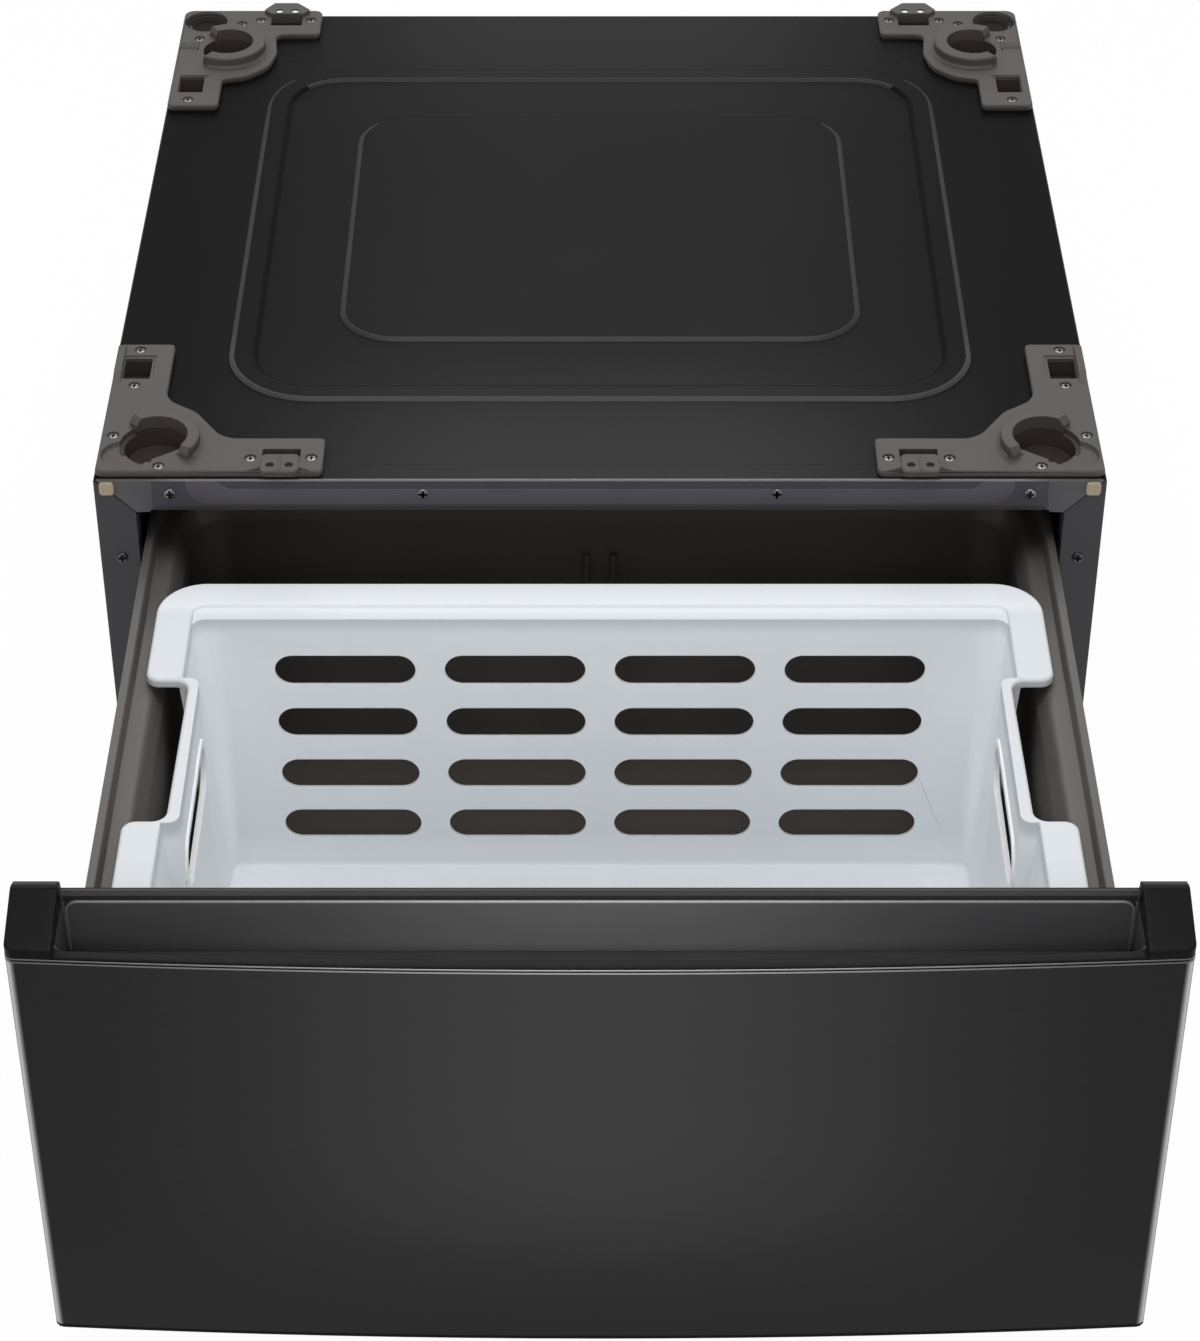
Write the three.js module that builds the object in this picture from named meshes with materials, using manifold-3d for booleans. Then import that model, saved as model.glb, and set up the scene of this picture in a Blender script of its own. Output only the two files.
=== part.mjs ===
// Laundry pedestal with one wide drawer, shown with the drawer pulled out.
//
// Millimetres. +X right, +Y to the rear, +Z up. The pieces are laid out from the cabinet's front
// plane (y = 0) and the floor (z = 0), and the whole pedestal is then moved along Y so that the
// origin is below the middle of its box.

import * as THREE from 'three';
import { mergeVertices } from 'three/addons/utils/BufferGeometryUtils.js';
import Module from 'manifold-3d';

const wasm = await Module();
wasm.setup();

// ---------------------------------------------------------------- driving dimensions

// cabinet
const CABINET_WIDTH = 686;
const CABINET_DEPTH = 668.6;
const TOP_HEIGHT = 338; // floor to the top sheet's upper face
const SKIRT_HEIGHT = 12; // floor to the cabinet's lower edge
const SHEET = 1.2;
const FIT = 0.3; // clearance between neighbours that don't touch
const COLUMN_WIDTH = 27.3; // front flange of a side panel
const COLUMN_LIP = 13.8;
const REAR_FLANGE = 25;
const TOP_SEAT = 6; // flange of a side panel that carries the top sheet
const TOP_EDGE_INSET = 1; // top sheet's edge inside the side panel's face

// top sheet
const FLANGE_DROP = 22;
const FLANGE_STEP_X = 36.5; // where the deep end of the front flange stops, from the side
const FLANGE_STEP_RUN = 5.5;
const BEAD_INSET_SIDE = 78.5;
const BEAD_INSET_FRONT = 93;
const BEAD_WIDTH = 22.5;
const BEAD_RADIUS = 62;
const PLATEAU_INSET_SIDE = 154;
const PLATEAU_INSET_FRONT = 170;
const PLATEAU_RADIUS = 42;
const EMBOSS_HEIGHT = 2.6;
const EMBOSS_RUN = 4; // width of an embossed slope

// rails
const TOP_RAIL_DEPTH = 30;
const TOP_RAIL_DROP = 26;
const BASE_RAIL_WIDTH = 45;
const BASE_RAIL_WEB_HEIGHT = 30;
const BASE_RAIL_LIP = 26;
const CROSS_RAIL_DEPTH = 38;
const CROSS_RAIL_HEIGHT = 34;
const RAIL_START = 16;

// corner brackets (a = from the side face, b = from the front or rear plane)
const BRACKET_THICKNESS = 6;
const BRACKET_EDGE = 1.3;
const BRACKET_ARM = 41.5;
const FRONT_PLATE = [ // [a, b, corner radius]
  [BRACKET_EDGE, BRACKET_EDGE, 4], [155.4, BRACKET_EDGE, 4], [155.4, BRACKET_ARM, 4],
  [95, BRACKET_ARM, 26], [BRACKET_ARM, 93, 26], [BRACKET_ARM, 160, 4], [BRACKET_EDGE, 160, 4],
];
const FRONT_LEDGE = [[37, 6], [65, 6], [65, 33], [55.6, 27.5], [38.9, 15.9]];
const FRONT_DISH = { a: 21, b: 20, radius: 19 };
const FRONT_PAD = { a: 126.4, b: 17.4, half: 13, corner: 4, holes: 4.2 };
const FRONT_STRAP_SLOT = { b0: 18, b1: 28 };
const FRONT_RIB = { a: 6.8, foot: 108, crest: 123, crestEnd: 154, end: 156 };
const FRONT_SEATS = [[17.2, 152.5], [17.5, 107], [9.5, 45], [44, 8.2], [105.7, 17.4], [147, 18.1]];
const REAR_PLATE = [
  [BRACKET_EDGE, BRACKET_EDGE, 8], [BRACKET_EDGE, 161.5, 4], [BRACKET_ARM, 161.5, 4],
  [BRACKET_ARM, 119, 8], [64, 115, 22], [81, 92, 22], [81, 62, 10], [86, 43.6, 8],
  [114.4, 43.6, 4], [114.4, BRACKET_EDGE, 6],
];
const REAR_TAB = [[70, 19], [108, 19]]; // its root; the end is a straight edge beyond the cabinet
const REAR_PAD = { a: 87, half: 11, corner: 3, holes: 3.5, relief: 11 };
const REAR_STRAP_SLOT = { half: 13, b0: 19, b1: 28 };
const CORNER_RECESS = { a: 20, b: 21, radius: 17.5, hole: 9.5 };
const RECESS_DEPTH = 2;
const REAR_SEATS = [[17, 151.6], [15.5, 107], [17.8, 52.4], [49.8, 24.6], [64.8, 18.4], [105.8, 17.9]];
const FRONT_WELL = { a: 40, b: 34, radius: 22 };
const REAR_WELL = { a: 42.5, b: 70.2, radius: 20.2 };
const WELL_DEPTH = 16; // below the bracket's upper face
const WELL_WALL = 2.5;
const COLLAR_OUTER = 30.3;
const COLLAR_HEIGHT = 8;
const LATCH_SLOT = { a0: 8, a1: 27, b0: 116, b1: 142 };
const PAD_OVERHANG = 5.5;
const PAD_RISE = 3.5;
const RIB_HEIGHT = 2;
const PAD_HOLE_RADIUS = 2.6;
const PAD_HOLE_PITCH = 12.9;
const SEAT_RADIUS = 3.9;
const SEAT_DEPTH = 1.8;

// bumpers and frame screws
const BUMPER_SIZE = 10;
const BUMPER_THICKNESS = 2.5;
const BUMPER_INSET = 8.9;
const BUMPER_DROP = 6.6;
const SCREW_HEAD_RADIUS = 4;
const SCREW_HEAD = 1.6;
const SCREW_RADIUS = 1.9;
const SCREW_LENGTH = 7;
const FLANGE_SCREW_INSET = 51.5; // outer flange screws, from the side face
const FLANGE_SCREW_INNER = 120; // inner flange screws, from the middle
const FLANGE_SCREW_DROP = 11.5;
const COLUMN_SCREW_A = 14.8;
const COLUMN_SCREW_HEIGHT = 273;

// drawer front
const FRONT_SIDE_DEPTH = 50.3; // front's thickness at its ends
const FRONT_BOW = 10;
const FRONT_BOTTOM = 10.4;
const SKIN_TOP = 323;
const SKIN_RETURN = 11;
const SKIN_CORNER = 6;
const BOTTOM_CAP = 2.5;
const INNER_PLATE = 1.2;
const CAP_WALL = 3;
const CAP_BOTTOM = 285.6;
const EAR_WIDTH = 28.2;
const EAR_TOP = 343.7;
const LIP_TOP = 326.5;
const LIP_THICKNESS = 8;
const REAR_RIM_TOP = 335;
const POCKET_FLOOR = 288.6;
const INSERT_THICKNESS = 1.4;
const INSERT_TOP = 327.6;
const INSERT_RADIUS = 7;

// drawer tub
const TUB_WALL = 2.5;
const RUNNER_SPACE = 54; // from the side face to the tub's side wall
const TUB_FLOOR = 61; // upper face of the floor
const TUB_DRAFT = 5;
const TUB_REAR = 66; // outside of the rear wall, behind the cabinet's front plane
const TUB_CORNER = 30;
const TUB_FLARE_BOTTOM = 258;
const TUB_RIM_INSET = 31.5; // from the side face
const TUB_RIM_TOP = 287;
const TUB_RIM_WIDTH = 5.6;
const TUB_REAR_RIM = 10;
const LEDGE_HEIGHT = 275;
const LEDGE_INSET = 50.4; // from the side face to the ledge's inner edge

// runners
const RUNNER_OVERLAP = 41.5; // what is left of a runner member inside the next, drawer out
const RUNNER_HEIGHT = 45;
const RUNNER_THICKNESS = 12.6;
const RUNNER_GAP = 0.5;
const RUNNER_CENTRE_HEIGHT = 222;
const RUNNER_START = 8;
const SUPPORT_HEIGHT = 52;
const SUPPORT_FOOT = 14;

// basket
const BASKET_WALL = 2.5;
const BASKET_RIM_TOP = 285;
const BASKET_RIM_THICKNESS = 10;
const BASKET_INSET = 46.7; // from the side face
const BASKET_SETBACK = 45; // from the cabinet's front plane, drawer out
const BASKET_GAP = 8.3; // to the drawer front
const BASKET_LENGTH = 358;
const BASKET_RIM = 24.3;
const BASKET_RIM_CORNER = 32;
const BASKET_STEP = 13; // lower step inside the front and rear rims
const BASKET_STEP_DROP = 3;
const BASKET_BOTTOM = 66.5;
const BASKET_SIDE_DRAFT = 13;
const BASKET_END_DRAFT = 4;
const NOTCH_LENGTH = 136;
const NOTCH_DEPTH = 26.8;
const NOTCH_RIM_WIDTH = 8.7;
const HAND_HOLE_LENGTH = 118;
const HAND_HOLE_HEIGHT = 28;
const HAND_HOLE_CENTRE_HEIGHT = 231;
const SLOT_LENGTH = 94.8;
const SLOT_HEIGHT = 24.4;
const SLOT_PITCH_X = 114.6;
const SLOT_PITCH_Z = 44.4;
const SLOT_TOP_CENTRE_HEIGHT = 239.2;
const SLOT_COLUMNS = 4;
const SLOT_ROWS = 4;

// feet
const FOOT_INSET_SIDE = 24;
const FOOT_INSET_END = 45;
const STUD_RADIUS = 5;
const STUD_TOP = 64;
const PAD_RADIUS = 18;
const PAD_DISC = 6;
const PAD_HEIGHT = 18;
const PAD_HEX_RADIUS = 13;
const NUT_RADIUS = 9.8;
const NUT_HEIGHT = 8;
const WELD_NUT_HEIGHT = 9;

// ---------------------------------------------------------------- derived places

const SIDE = CABINET_WIDTH / 2;
const INSIDE = SIDE - SHEET;
const TOP_UNDER = TOP_HEIGHT - SHEET;
const COLUMN_INNER = SIDE - COLUMN_WIDTH;
const BRACKET_TOP = TOP_HEIGHT + BRACKET_THICKNESS;
const CLOSED_GAP = BUMPER_THICKNESS + FIT;
const TRAVEL = BASKET_LENGTH + BASKET_GAP + BASKET_SETBACK - CLOSED_GAP;
const RUNNER_LENGTH = TRAVEL + RUNNER_OVERLAP;
const FRONT_REAR_Y = -TRAVEL - CLOSED_GAP; // rear face of the drawer front, drawer out
const FRONT_END_Y = FRONT_REAR_Y - FRONT_SIDE_DEPTH;
const FRONTMOST_Y = FRONT_END_Y - FRONT_BOW;
const REARMOST_Y = CABINET_DEPTH + PAD_OVERHANG;
const ORIGIN_Y = (FRONTMOST_Y + REARMOST_Y) / 2;
const FLANGE_SCREWS_X = [-SIDE + FLANGE_SCREW_INSET, -FLANGE_SCREW_INNER, FLANGE_SCREW_INNER,
  SIDE - FLANGE_SCREW_INSET];
const TUB_HALF_WIDTH = SIDE - RUNNER_SPACE;
const TUB_RIM_HALF_WIDTH = SIDE - TUB_RIM_INSET;
const LEDGE_INNER = SIDE - LEDGE_INSET;
const BASKET_HALF_WIDTH = SIDE - BASKET_INSET;
const NOTCH_RIM_OUTER = BASKET_HALF_WIDTH - NOTCH_DEPTH;
const NOTCH_RIM_INNER = NOTCH_RIM_OUTER - NOTCH_RIM_WIDTH;
const BASKET_REAR = -BASKET_SETBACK;
const BASKET_FRONT = BASKET_REAR - BASKET_LENGTH;
const BASKET_MIDDLE = (BASKET_FRONT + BASKET_REAR) / 2;
const RAIL_WEB_TOP = BASE_RAIL_WEB_HEIGHT + SHEET;
const RAIL_INNER = SIDE - SHEET - BASE_RAIL_WIDTH;

// ---------------------------------------------------------------- finishes

function finish(color, roughness, metalness) {
  return new THREE.MeshStandardMaterial({ color, roughness, metalness });
}

const blackSheet = finish(0x2b2b2d, 0.45, 0.3);
const frameSteel = finish(0x46444c, 0.5, 0.5);
const zincSteel = finish(0x9a9c9e, 0.35, 0.9);
const bracketPlastic = finish(0x6b6764, 0.6, 0);
const bumperRubber = finish(0xa89f90, 0.8, 0);
const capPlastic = finish(0x232325, 0.35, 0);
const brushedSkin = finish(0x343436, 0.38, 0.7);
const tubPlastic = finish(0x5a5550, 0.55, 0);
const basketPlastic = finish(0xdfe5ea, 0.45, 0);
const footPlastic = finish(0x1b1b1c, 0.7, 0);

// ---------------------------------------------------------------- shape helpers

function toSolid(geometry) {
  const bare = geometry.clone();
  bare.deleteAttribute('normal');
  bare.deleteAttribute('uv');
  const merged = mergeVertices(bare, 1e-4);
  return new wasm.Manifold(new wasm.Mesh({
    numProp: 3,
    vertProperties: new Float32Array(merged.attributes.position.array),
    triVerts: new Uint32Array(merged.index.array),
  }));
}

function toGeometry(solid) {
  const mesh = solid.getMesh();
  const geometry = new THREE.BufferGeometry();
  geometry.setAttribute('position', new THREE.BufferAttribute(new Float32Array(mesh.vertProperties), 3));
  geometry.setIndex(new THREE.BufferAttribute(new Uint32Array(mesh.triVerts), 1));
  geometry.computeVertexNormals();
  return geometry;
}

function join(first, ...others) {
  return others.reduce((sum, solid) => sum.add(solid), first);
}

function cut(first, ...tools) {
  return tools.reduce((rest, tool) => rest.subtract(tool), first);
}

// The same solid on the other side of the pedestal's middle plane.
function mirrored(solid) {
  const geometry = toGeometry(solid);
  geometry.scale(-1, 1, 1);
  const index = geometry.index.array;
  for (let i = 0; i < index.length; i += 3) {
    [index[i], index[i + 1]] = [index[i + 1], index[i]];
  }
  return toSolid(geometry);
}

function block(x0, x1, y0, y1, z0, z1) {
  const geometry = new THREE.BoxGeometry(x1 - x0, y1 - y0, z1 - z0);
  geometry.translate((x0 + x1) / 2, (y0 + y1) / 2, (z0 + z1) / 2);
  return toSolid(geometry);
}

// A closed outline through [u, v, radius] corners. A corner without a radius stays sharp.
function outline(corners, steps = 4) {
  const points = [];
  const count = corners.length;
  for (let i = 0; i < count; i += 1) {
    const [u, v, radius = 0] = corners[i];
    const here = new THREE.Vector2(u, v);
    if (radius === 0) {
      points.push(here);
      continue;
    }
    const before = new THREE.Vector2(...corners[(i + count - 1) % count].slice(0, 2)).sub(here).normalize();
    const after = new THREE.Vector2(...corners[(i + 1) % count].slice(0, 2)).sub(here).normalize();
    const half = Math.acos(THREE.MathUtils.clamp(before.dot(after), -1, 1)) / 2;
    const middle = before.clone().add(after).normalize();
    const centre = here.clone().addScaledVector(middle, radius / Math.sin(half));
    const from = here.clone().addScaledVector(before, radius / Math.tan(half)).sub(centre);
    const to = here.clone().addScaledVector(after, radius / Math.tan(half)).sub(centre);
    const turn = Math.atan2(from.cross(to), from.dot(to));
    for (let k = 0; k <= steps; k += 1) {
      points.push(from.clone().rotateAround(new THREE.Vector2(), (turn * k) / steps).add(centre));
    }
  }
  return new THREE.Shape(points);
}

const PLANES = {
  z: new THREE.Matrix4(),
  x: new THREE.Matrix4().makeBasis(
    new THREE.Vector3(0, 1, 0), new THREE.Vector3(0, 0, 1), new THREE.Vector3(1, 0, 0)),
  y: new THREE.Matrix4().makeBasis(
    new THREE.Vector3(1, 0, 0), new THREE.Vector3(0, 0, 1), new THREE.Vector3(0, -1, 0)),
};

// Extrudes a shape along an axis, between two places on it: (x, y) along z, (y, z) along x and
// (x, z) along y.
function extrude(axis, shape, from, to) {
  const geometry = new THREE.ExtrudeGeometry(shape, { depth: to - from, bevelEnabled: false });
  geometry.applyMatrix4(PLANES[axis]);
  if (axis === 'z') geometry.translate(0, 0, from);
  if (axis === 'x') geometry.translate(from, 0, 0);
  if (axis === 'y') geometry.translate(0, to, 0);
  return toSolid(geometry);
}

function rod(axis, u, v, radius, from, to, sides = 16) {
  const shape = new THREE.Shape();
  for (let k = 0; k < sides; k += 1) {
    const turn = (2 * Math.PI * (k + 0.5)) / sides;
    const place = [u + radius * Math.cos(turn), v + radius * Math.sin(turn)];
    if (k === 0) shape.moveTo(...place);
    else shape.lineTo(...place);
  }
  return extrude(axis, shape, from, to);
}

// A slot with round ends, as a shape.
function stadium(u, v, length, height, steps = 4) {
  const shape = new THREE.Shape();
  const radius = height / 2;
  const reach = length / 2 - radius;
  for (const side of [1, -1]) {
    for (let k = 0; k <= steps; k += 1) {
      const turn = -Math.PI / 2 + (Math.PI * k) / steps;
      const place = [u + side * (reach + radius * Math.cos(turn)), v + side * radius * Math.sin(turn)];
      if (side === 1 && k === 0) shape.moveTo(...place);
      else shape.lineTo(...place);
    }
  }
  return shape;
}

// Points round a rectangle with rounded corners, at height z.
function roundedRing({ x0, x1, y0, y1, radius, z }, steps = 5) {
  const ring = [];
  const centres = [[x1 - radius, y1 - radius], [x0 + radius, y1 - radius],
    [x0 + radius, y0 + radius], [x1 - radius, y0 + radius]];
  centres.forEach(([cx, cy], corner) => {
    for (let k = 0; k <= steps; k += 1) {
      const turn = (Math.PI / 2) * (corner + k / steps);
      ring.push(new THREE.Vector3(cx + radius * Math.cos(turn), cy + radius * Math.sin(turn), z));
    }
  });
  return ring;
}

// A closed solid through rings of equal count, from the lowest to the highest.
function loft(sections, steps) {
  const rings = sections.map((section) => roundedRing(section, steps));
  const count = rings[0].length;
  const positions = rings.flat().flatMap((p) => [p.x, p.y, p.z]);
  const index = [];
  for (let level = 0; level + 1 < rings.length; level += 1) {
    for (let k = 0; k < count; k += 1) {
      const a = level * count + k;
      const b = level * count + ((k + 1) % count);
      index.push(a, b, b + count, a, b + count, a + count);
    }
  }
  const addCap = (level, facingUp) => {
    const middle = rings[level].reduce((sum, p) => sum.add(p), new THREE.Vector3()).divideScalar(count);
    const centre = positions.length / 3;
    positions.push(middle.x, middle.y, middle.z);
    for (let k = 0; k < count; k += 1) {
      const a = level * count + k;
      const b = level * count + ((k + 1) % count);
      index.push(...(facingUp ? [centre, a, b] : [centre, b, a]));
    }
  };
  addCap(0, false);
  addCap(rings.length - 1, true);
  const geometry = new THREE.BufferGeometry();
  geometry.setAttribute('position', new THREE.Float32BufferAttribute(positions, 3));
  geometry.setIndex(index);
  return toSolid(geometry);
}

const pedestal = new THREE.Group();
pedestal.position.y = -ORIGIN_Y;

function add(name, solid, material) {
  const mesh = new THREE.Mesh(toGeometry(solid), material);
  mesh.name = name;
  pedestal.add(mesh);
}

// A piece built for the left side, and its mirror image.
function addPair(name, leftSolid, material) {
  add(`${name}_left`, leftSolid, material);
  add(`${name}_right`, mirrored(leftSolid), material);
}

// ---------------------------------------------------------------- screws and their holes

const FRAME_HOLE = SCREW_RADIUS + FIT;
const FLANGE_SCREW_Z = TOP_HEIGHT - FLANGE_SCREW_DROP;
const COLUMN_SCREW_X = -SIDE + COLUMN_SCREW_A;

function flangeScrewHoles() {
  return FLANGE_SCREWS_X.map((x) => rod('y', x, FLANGE_SCREW_Z, FRAME_HOLE, -SHEET, 3 * SHEET, 10));
}

function columnScrewHole() {
  return rod('y', COLUMN_SCREW_X, COLUMN_SCREW_HEIGHT, FRAME_HOLE, -SHEET, 3 * SHEET, 10);
}

// A pan head screw driven along +Y, its head's underside at the given y.
function frameScrew(x, y, z) {
  return join(
    rod('y', x, z, SCREW_HEAD_RADIUS, y - SCREW_HEAD, y, 12),
    rod('y', x, z, SCREW_RADIUS, y - SCREW_HEAD / 2, y + SCREW_LENGTH, 10),
  );
}

// ---------------------------------------------------------------- cabinet

// One bent sheet: front column with its lip, side wall, rear flange and the seat of the top sheet.
function sidePanel() {
  const plan = outline([
    [-COLUMN_INNER, 0], [-COLUMN_INNER, SHEET], [-INSIDE, SHEET],
    [-INSIDE, CABINET_DEPTH - SHEET], [-SIDE + REAR_FLANGE, CABINET_DEPTH - SHEET],
    [-SIDE + REAR_FLANGE, CABINET_DEPTH], [-SIDE, CABINET_DEPTH], [-SIDE, 0],
  ]);
  const lipTop = TOP_HEIGHT - COLUMN_WIDTH - 2 * SHEET;
  const mitre = outline([
    [-INSIDE, TOP_HEIGHT - SHEET - FIT / 2], [-COLUMN_INNER + 1, TOP_HEIGHT - COLUMN_WIDTH - 1 - FIT / 2],
    [-COLUMN_INNER + 1, TOP_HEIGHT], [-INSIDE, TOP_HEIGHT],
  ]);
  return cut(
    join(
      extrude('z', plan, SKIRT_HEIGHT, TOP_UNDER),
      block(-COLUMN_INNER - SHEET, -COLUMN_INNER, 0, SHEET + COLUMN_LIP, SKIRT_HEIGHT, lipTop),
      block(-SIDE, -INSIDE + TOP_SEAT, RAIL_START, CABINET_DEPTH - SHEET, TOP_UNDER - SHEET, TOP_UNDER),
    ),
    extrude('y', mitre, -1, SHEET + COLUMN_LIP + 1),
    columnScrewHole(),
  );
}

// A rounded rectangle with sloped sides, set in from the top sheet's edges.
function embossing(insetSide, insetFront, radius, run, z, height) {
  const at = (inset, level) => ({
    x0: -SIDE + insetSide + inset,
    x1: SIDE - insetSide - inset,
    y0: insetFront + inset,
    y1: CABINET_DEPTH - insetFront - inset,
    radius: radius - inset,
    z: level,
  });
  return loft([at(0, z), at(run, z + height)], 4);
}

// The raised ring bead and plateau, moved down by the given amount.
function topEmbossings(down) {
  const low = TOP_HEIGHT - SHEET / 2 - down;
  const rise = EMBOSS_HEIGHT + SHEET / 2;
  const innerSide = BEAD_INSET_SIDE + BEAD_WIDTH;
  const innerFront = BEAD_INSET_FRONT + BEAD_WIDTH;
  const ring = cut(
    embossing(BEAD_INSET_SIDE, BEAD_INSET_FRONT, BEAD_RADIUS, EMBOSS_RUN, low, rise),
    embossing(innerSide, innerFront, BEAD_RADIUS - BEAD_WIDTH, -EMBOSS_RUN, low, rise),
  );
  const plateau = embossing(PLATEAU_INSET_SIDE, PLATEAU_INSET_FRONT, PLATEAU_RADIUS, EMBOSS_RUN, low, rise);
  return join(ring, plateau);
}

// Openings in the top sheet below the brackets' wells and latch slots, on the left side.
function topOpenings() {
  const low = TOP_HEIGHT - 3 * SHEET;
  const slot = LATCH_SLOT;
  const wellHole = (well, y) => rod('z', -SIDE + well.a, y, well.radius + WELL_WALL + FIT,
    low, TOP_HEIGHT + 1);
  return [
    wellHole(FRONT_WELL, FRONT_WELL.b),
    wellHole(REAR_WELL, CABINET_DEPTH - REAR_WELL.b),
    block(-SIDE + slot.a0, -SIDE + slot.a1, slot.b0, slot.b1, low, TOP_HEIGHT + 1),
    block(-SIDE + slot.a0, -SIDE + slot.a1, CABINET_DEPTH - slot.b1, CABINET_DEPTH - slot.b0,
      low, TOP_HEIGHT + 1),
  ];
}

function topPanel() {
  const edge = SIDE - TOP_EDGE_INSET;
  const stepOuter = SIDE - FLANGE_STEP_X;
  const stepInner = stepOuter - FLANGE_STEP_RUN;
  const high = TOP_HEIGHT - FLANGE_DROP;
  const low = TOP_HEIGHT - COLUMN_WIDTH + FIT / 2;
  const shoulder = TOP_HEIGHT - TOP_EDGE_INSET + FIT / 2;
  const flange = outline([
    [-edge, TOP_HEIGHT], [-edge, shoulder], [-COLUMN_INNER, low], [-stepOuter, low], [-stepInner, high],
    [stepInner, high], [stepOuter, low], [COLUMN_INNER, low], [edge, shoulder], [edge, TOP_HEIGHT],
  ]);
  const rearEnd = SIDE - REAR_FLANGE - 1;
  const openings = topOpenings();
  return cut(
    join(
      block(-edge, edge, 0, CABINET_DEPTH, TOP_UNDER, TOP_HEIGHT),
      extrude('y', flange, 0, SHEET),
      block(-rearEnd, rearEnd, CABINET_DEPTH - SHEET, CABINET_DEPTH, high, TOP_HEIGHT),
      topEmbossings(0),
    ),
    topEmbossings(SHEET),
    ...openings,
    ...openings.map(mirrored),
    ...flangeScrewHoles(),
  );
}

function frontTopRail() {
  const front = SHEET;
  const top = TOP_UNDER - SHEET - FIT;
  const bottom = TOP_HEIGHT - TOP_RAIL_DROP;
  const end = INSIDE - FIT;
  const profile = outline([
    [front, bottom], [TOP_RAIL_DEPTH, bottom], [TOP_RAIL_DEPTH, bottom + SHEET],
    [front + SHEET, bottom + SHEET], [front + SHEET, top - SHEET], [TOP_RAIL_DEPTH, top - SHEET],
    [TOP_RAIL_DEPTH, top], [front, top],
  ]);
  const wellRelief = rod('z', -SIDE + FRONT_WELL.a, FRONT_WELL.b, FRONT_WELL.radius + WELL_WALL + 1,
    TOP_HEIGHT - WELL_DEPTH, TOP_HEIGHT);
  return cut(
    extrude('x', profile, -end, end),
    wellRelief,
    mirrored(wellRelief),
    ...flangeScrewHoles(),
  );
}

function rearPanel() {
  const y1 = CABINET_DEPTH - SHEET;
  const inset = 60;
  const field = (run, y) => block(-SIDE + inset + run, SIDE - inset - run, y, y + SHEET,
    SKIRT_HEIGHT + inset + run, TOP_HEIGHT - inset - run);
  const sheet = block(-INSIDE, INSIDE, y1 - SHEET, y1, SKIRT_HEIGHT, TOP_UNDER - SHEET - FIT);
  const recess = field(0, y1 - SHEET / 2);
  const back = field(-SHEET, y1 - 2 * SHEET);
  return cut(join(sheet, cut(back, field(SHEET, y1 - 3 * SHEET))), recess);
}

// Base rail along a side: a Z section with a weld nut over each foot.
function baseRail() {
  const rearEnd = CABINET_DEPTH - 2 * SHEET - FIT;
  const web = BASE_RAIL_WEB_HEIGHT;
  const profile = outline([
    [-INSIDE, SKIRT_HEIGHT], [-INSIDE + SHEET, SKIRT_HEIGHT], [-INSIDE + SHEET, web],
    [-RAIL_INNER, web], [-RAIL_INNER, web + BASE_RAIL_LIP], [-RAIL_INNER - SHEET, web + BASE_RAIL_LIP],
    [-RAIL_INNER - SHEET, web + SHEET], [-INSIDE, web + SHEET],
  ]);
  const rail = extrude('y', profile, RAIL_START, rearEnd);
  const x = -SIDE + FOOT_INSET_SIDE;
  const places = [FOOT_INSET_END, CABINET_DEPTH - FOOT_INSET_END];
  const nutTop = web + SHEET + WELD_NUT_HEIGHT;
  const bosses = places.map((y) => rod('z', x, y, NUT_RADIUS, web, nutTop, 6));
  const holes = places.map((y) => rod('z', x, y, STUD_RADIUS + FIT, web - 1, nutTop + 1, 12));
  return cut(join(rail, ...bosses), ...holes);
}

// Cross rail of the base between the two side rails, opening towards the middle.
function crossRail(atRear) {
  const outer = atRear ? CABINET_DEPTH - 2 * SHEET : SHEET + FIT;
  const inward = atRear ? -1 : 1;
  const top = SKIRT_HEIGHT + CROSS_RAIL_HEIGHT;
  const at = (depth) => outer + inward * depth;
  const profile = outline([
    [at(0), SKIRT_HEIGHT], [at(CROSS_RAIL_DEPTH), SKIRT_HEIGHT],
    [at(CROSS_RAIL_DEPTH), SKIRT_HEIGHT + SHEET], [at(SHEET), SKIRT_HEIGHT + SHEET],
    [at(SHEET), top - SHEET], [at(CROSS_RAIL_DEPTH), top - SHEET], [at(CROSS_RAIL_DEPTH), top], [at(0), top],
  ]);
  return extrude('x', profile, -RAIL_INNER, RAIL_INNER);
}

function bumper() {
  const x0 = -SIDE + BUMPER_INSET - BUMPER_SIZE / 2;
  const z1 = TOP_HEIGHT - BUMPER_DROP + BUMPER_SIZE / 2;
  const shape = outline([
    [x0, z1 - BUMPER_SIZE, 2], [x0 + BUMPER_SIZE, z1 - BUMPER_SIZE, 2],
    [x0 + BUMPER_SIZE, z1, 2], [x0, z1, 2],
  ], 2);
  return extrude('y', shape, -BUMPER_THICKNESS, 0);
}

function buildCabinet() {
  const left = sidePanel();
  add('left_side_panel', left, blackSheet);
  add('right_side_panel', mirrored(left), blackSheet);
  add('top_panel', topPanel(), blackSheet);
  add('front_top_rail', frontTopRail(), frameSteel);
  add('rear_panel', rearPanel(), blackSheet);
  addPair('base_rail', baseRail(), frameSteel);
  add('base_rail_front', crossRail(false), frameSteel);
  add('base_rail_rear', crossRail(true), frameSteel);
  addPair('bumper', bumper(), bumperRubber);
  FLANGE_SCREWS_X.forEach((x, i) => {
    add(`flange_screw_${i + 1}`, frameScrew(x, 0, FLANGE_SCREW_Z), zincSteel);
  });
  addPair('column_screw', frameScrew(COLUMN_SCREW_X, 0, COLUMN_SCREW_HEIGHT), zincSteel);
}

// ---------------------------------------------------------------- corner brackets

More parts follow.
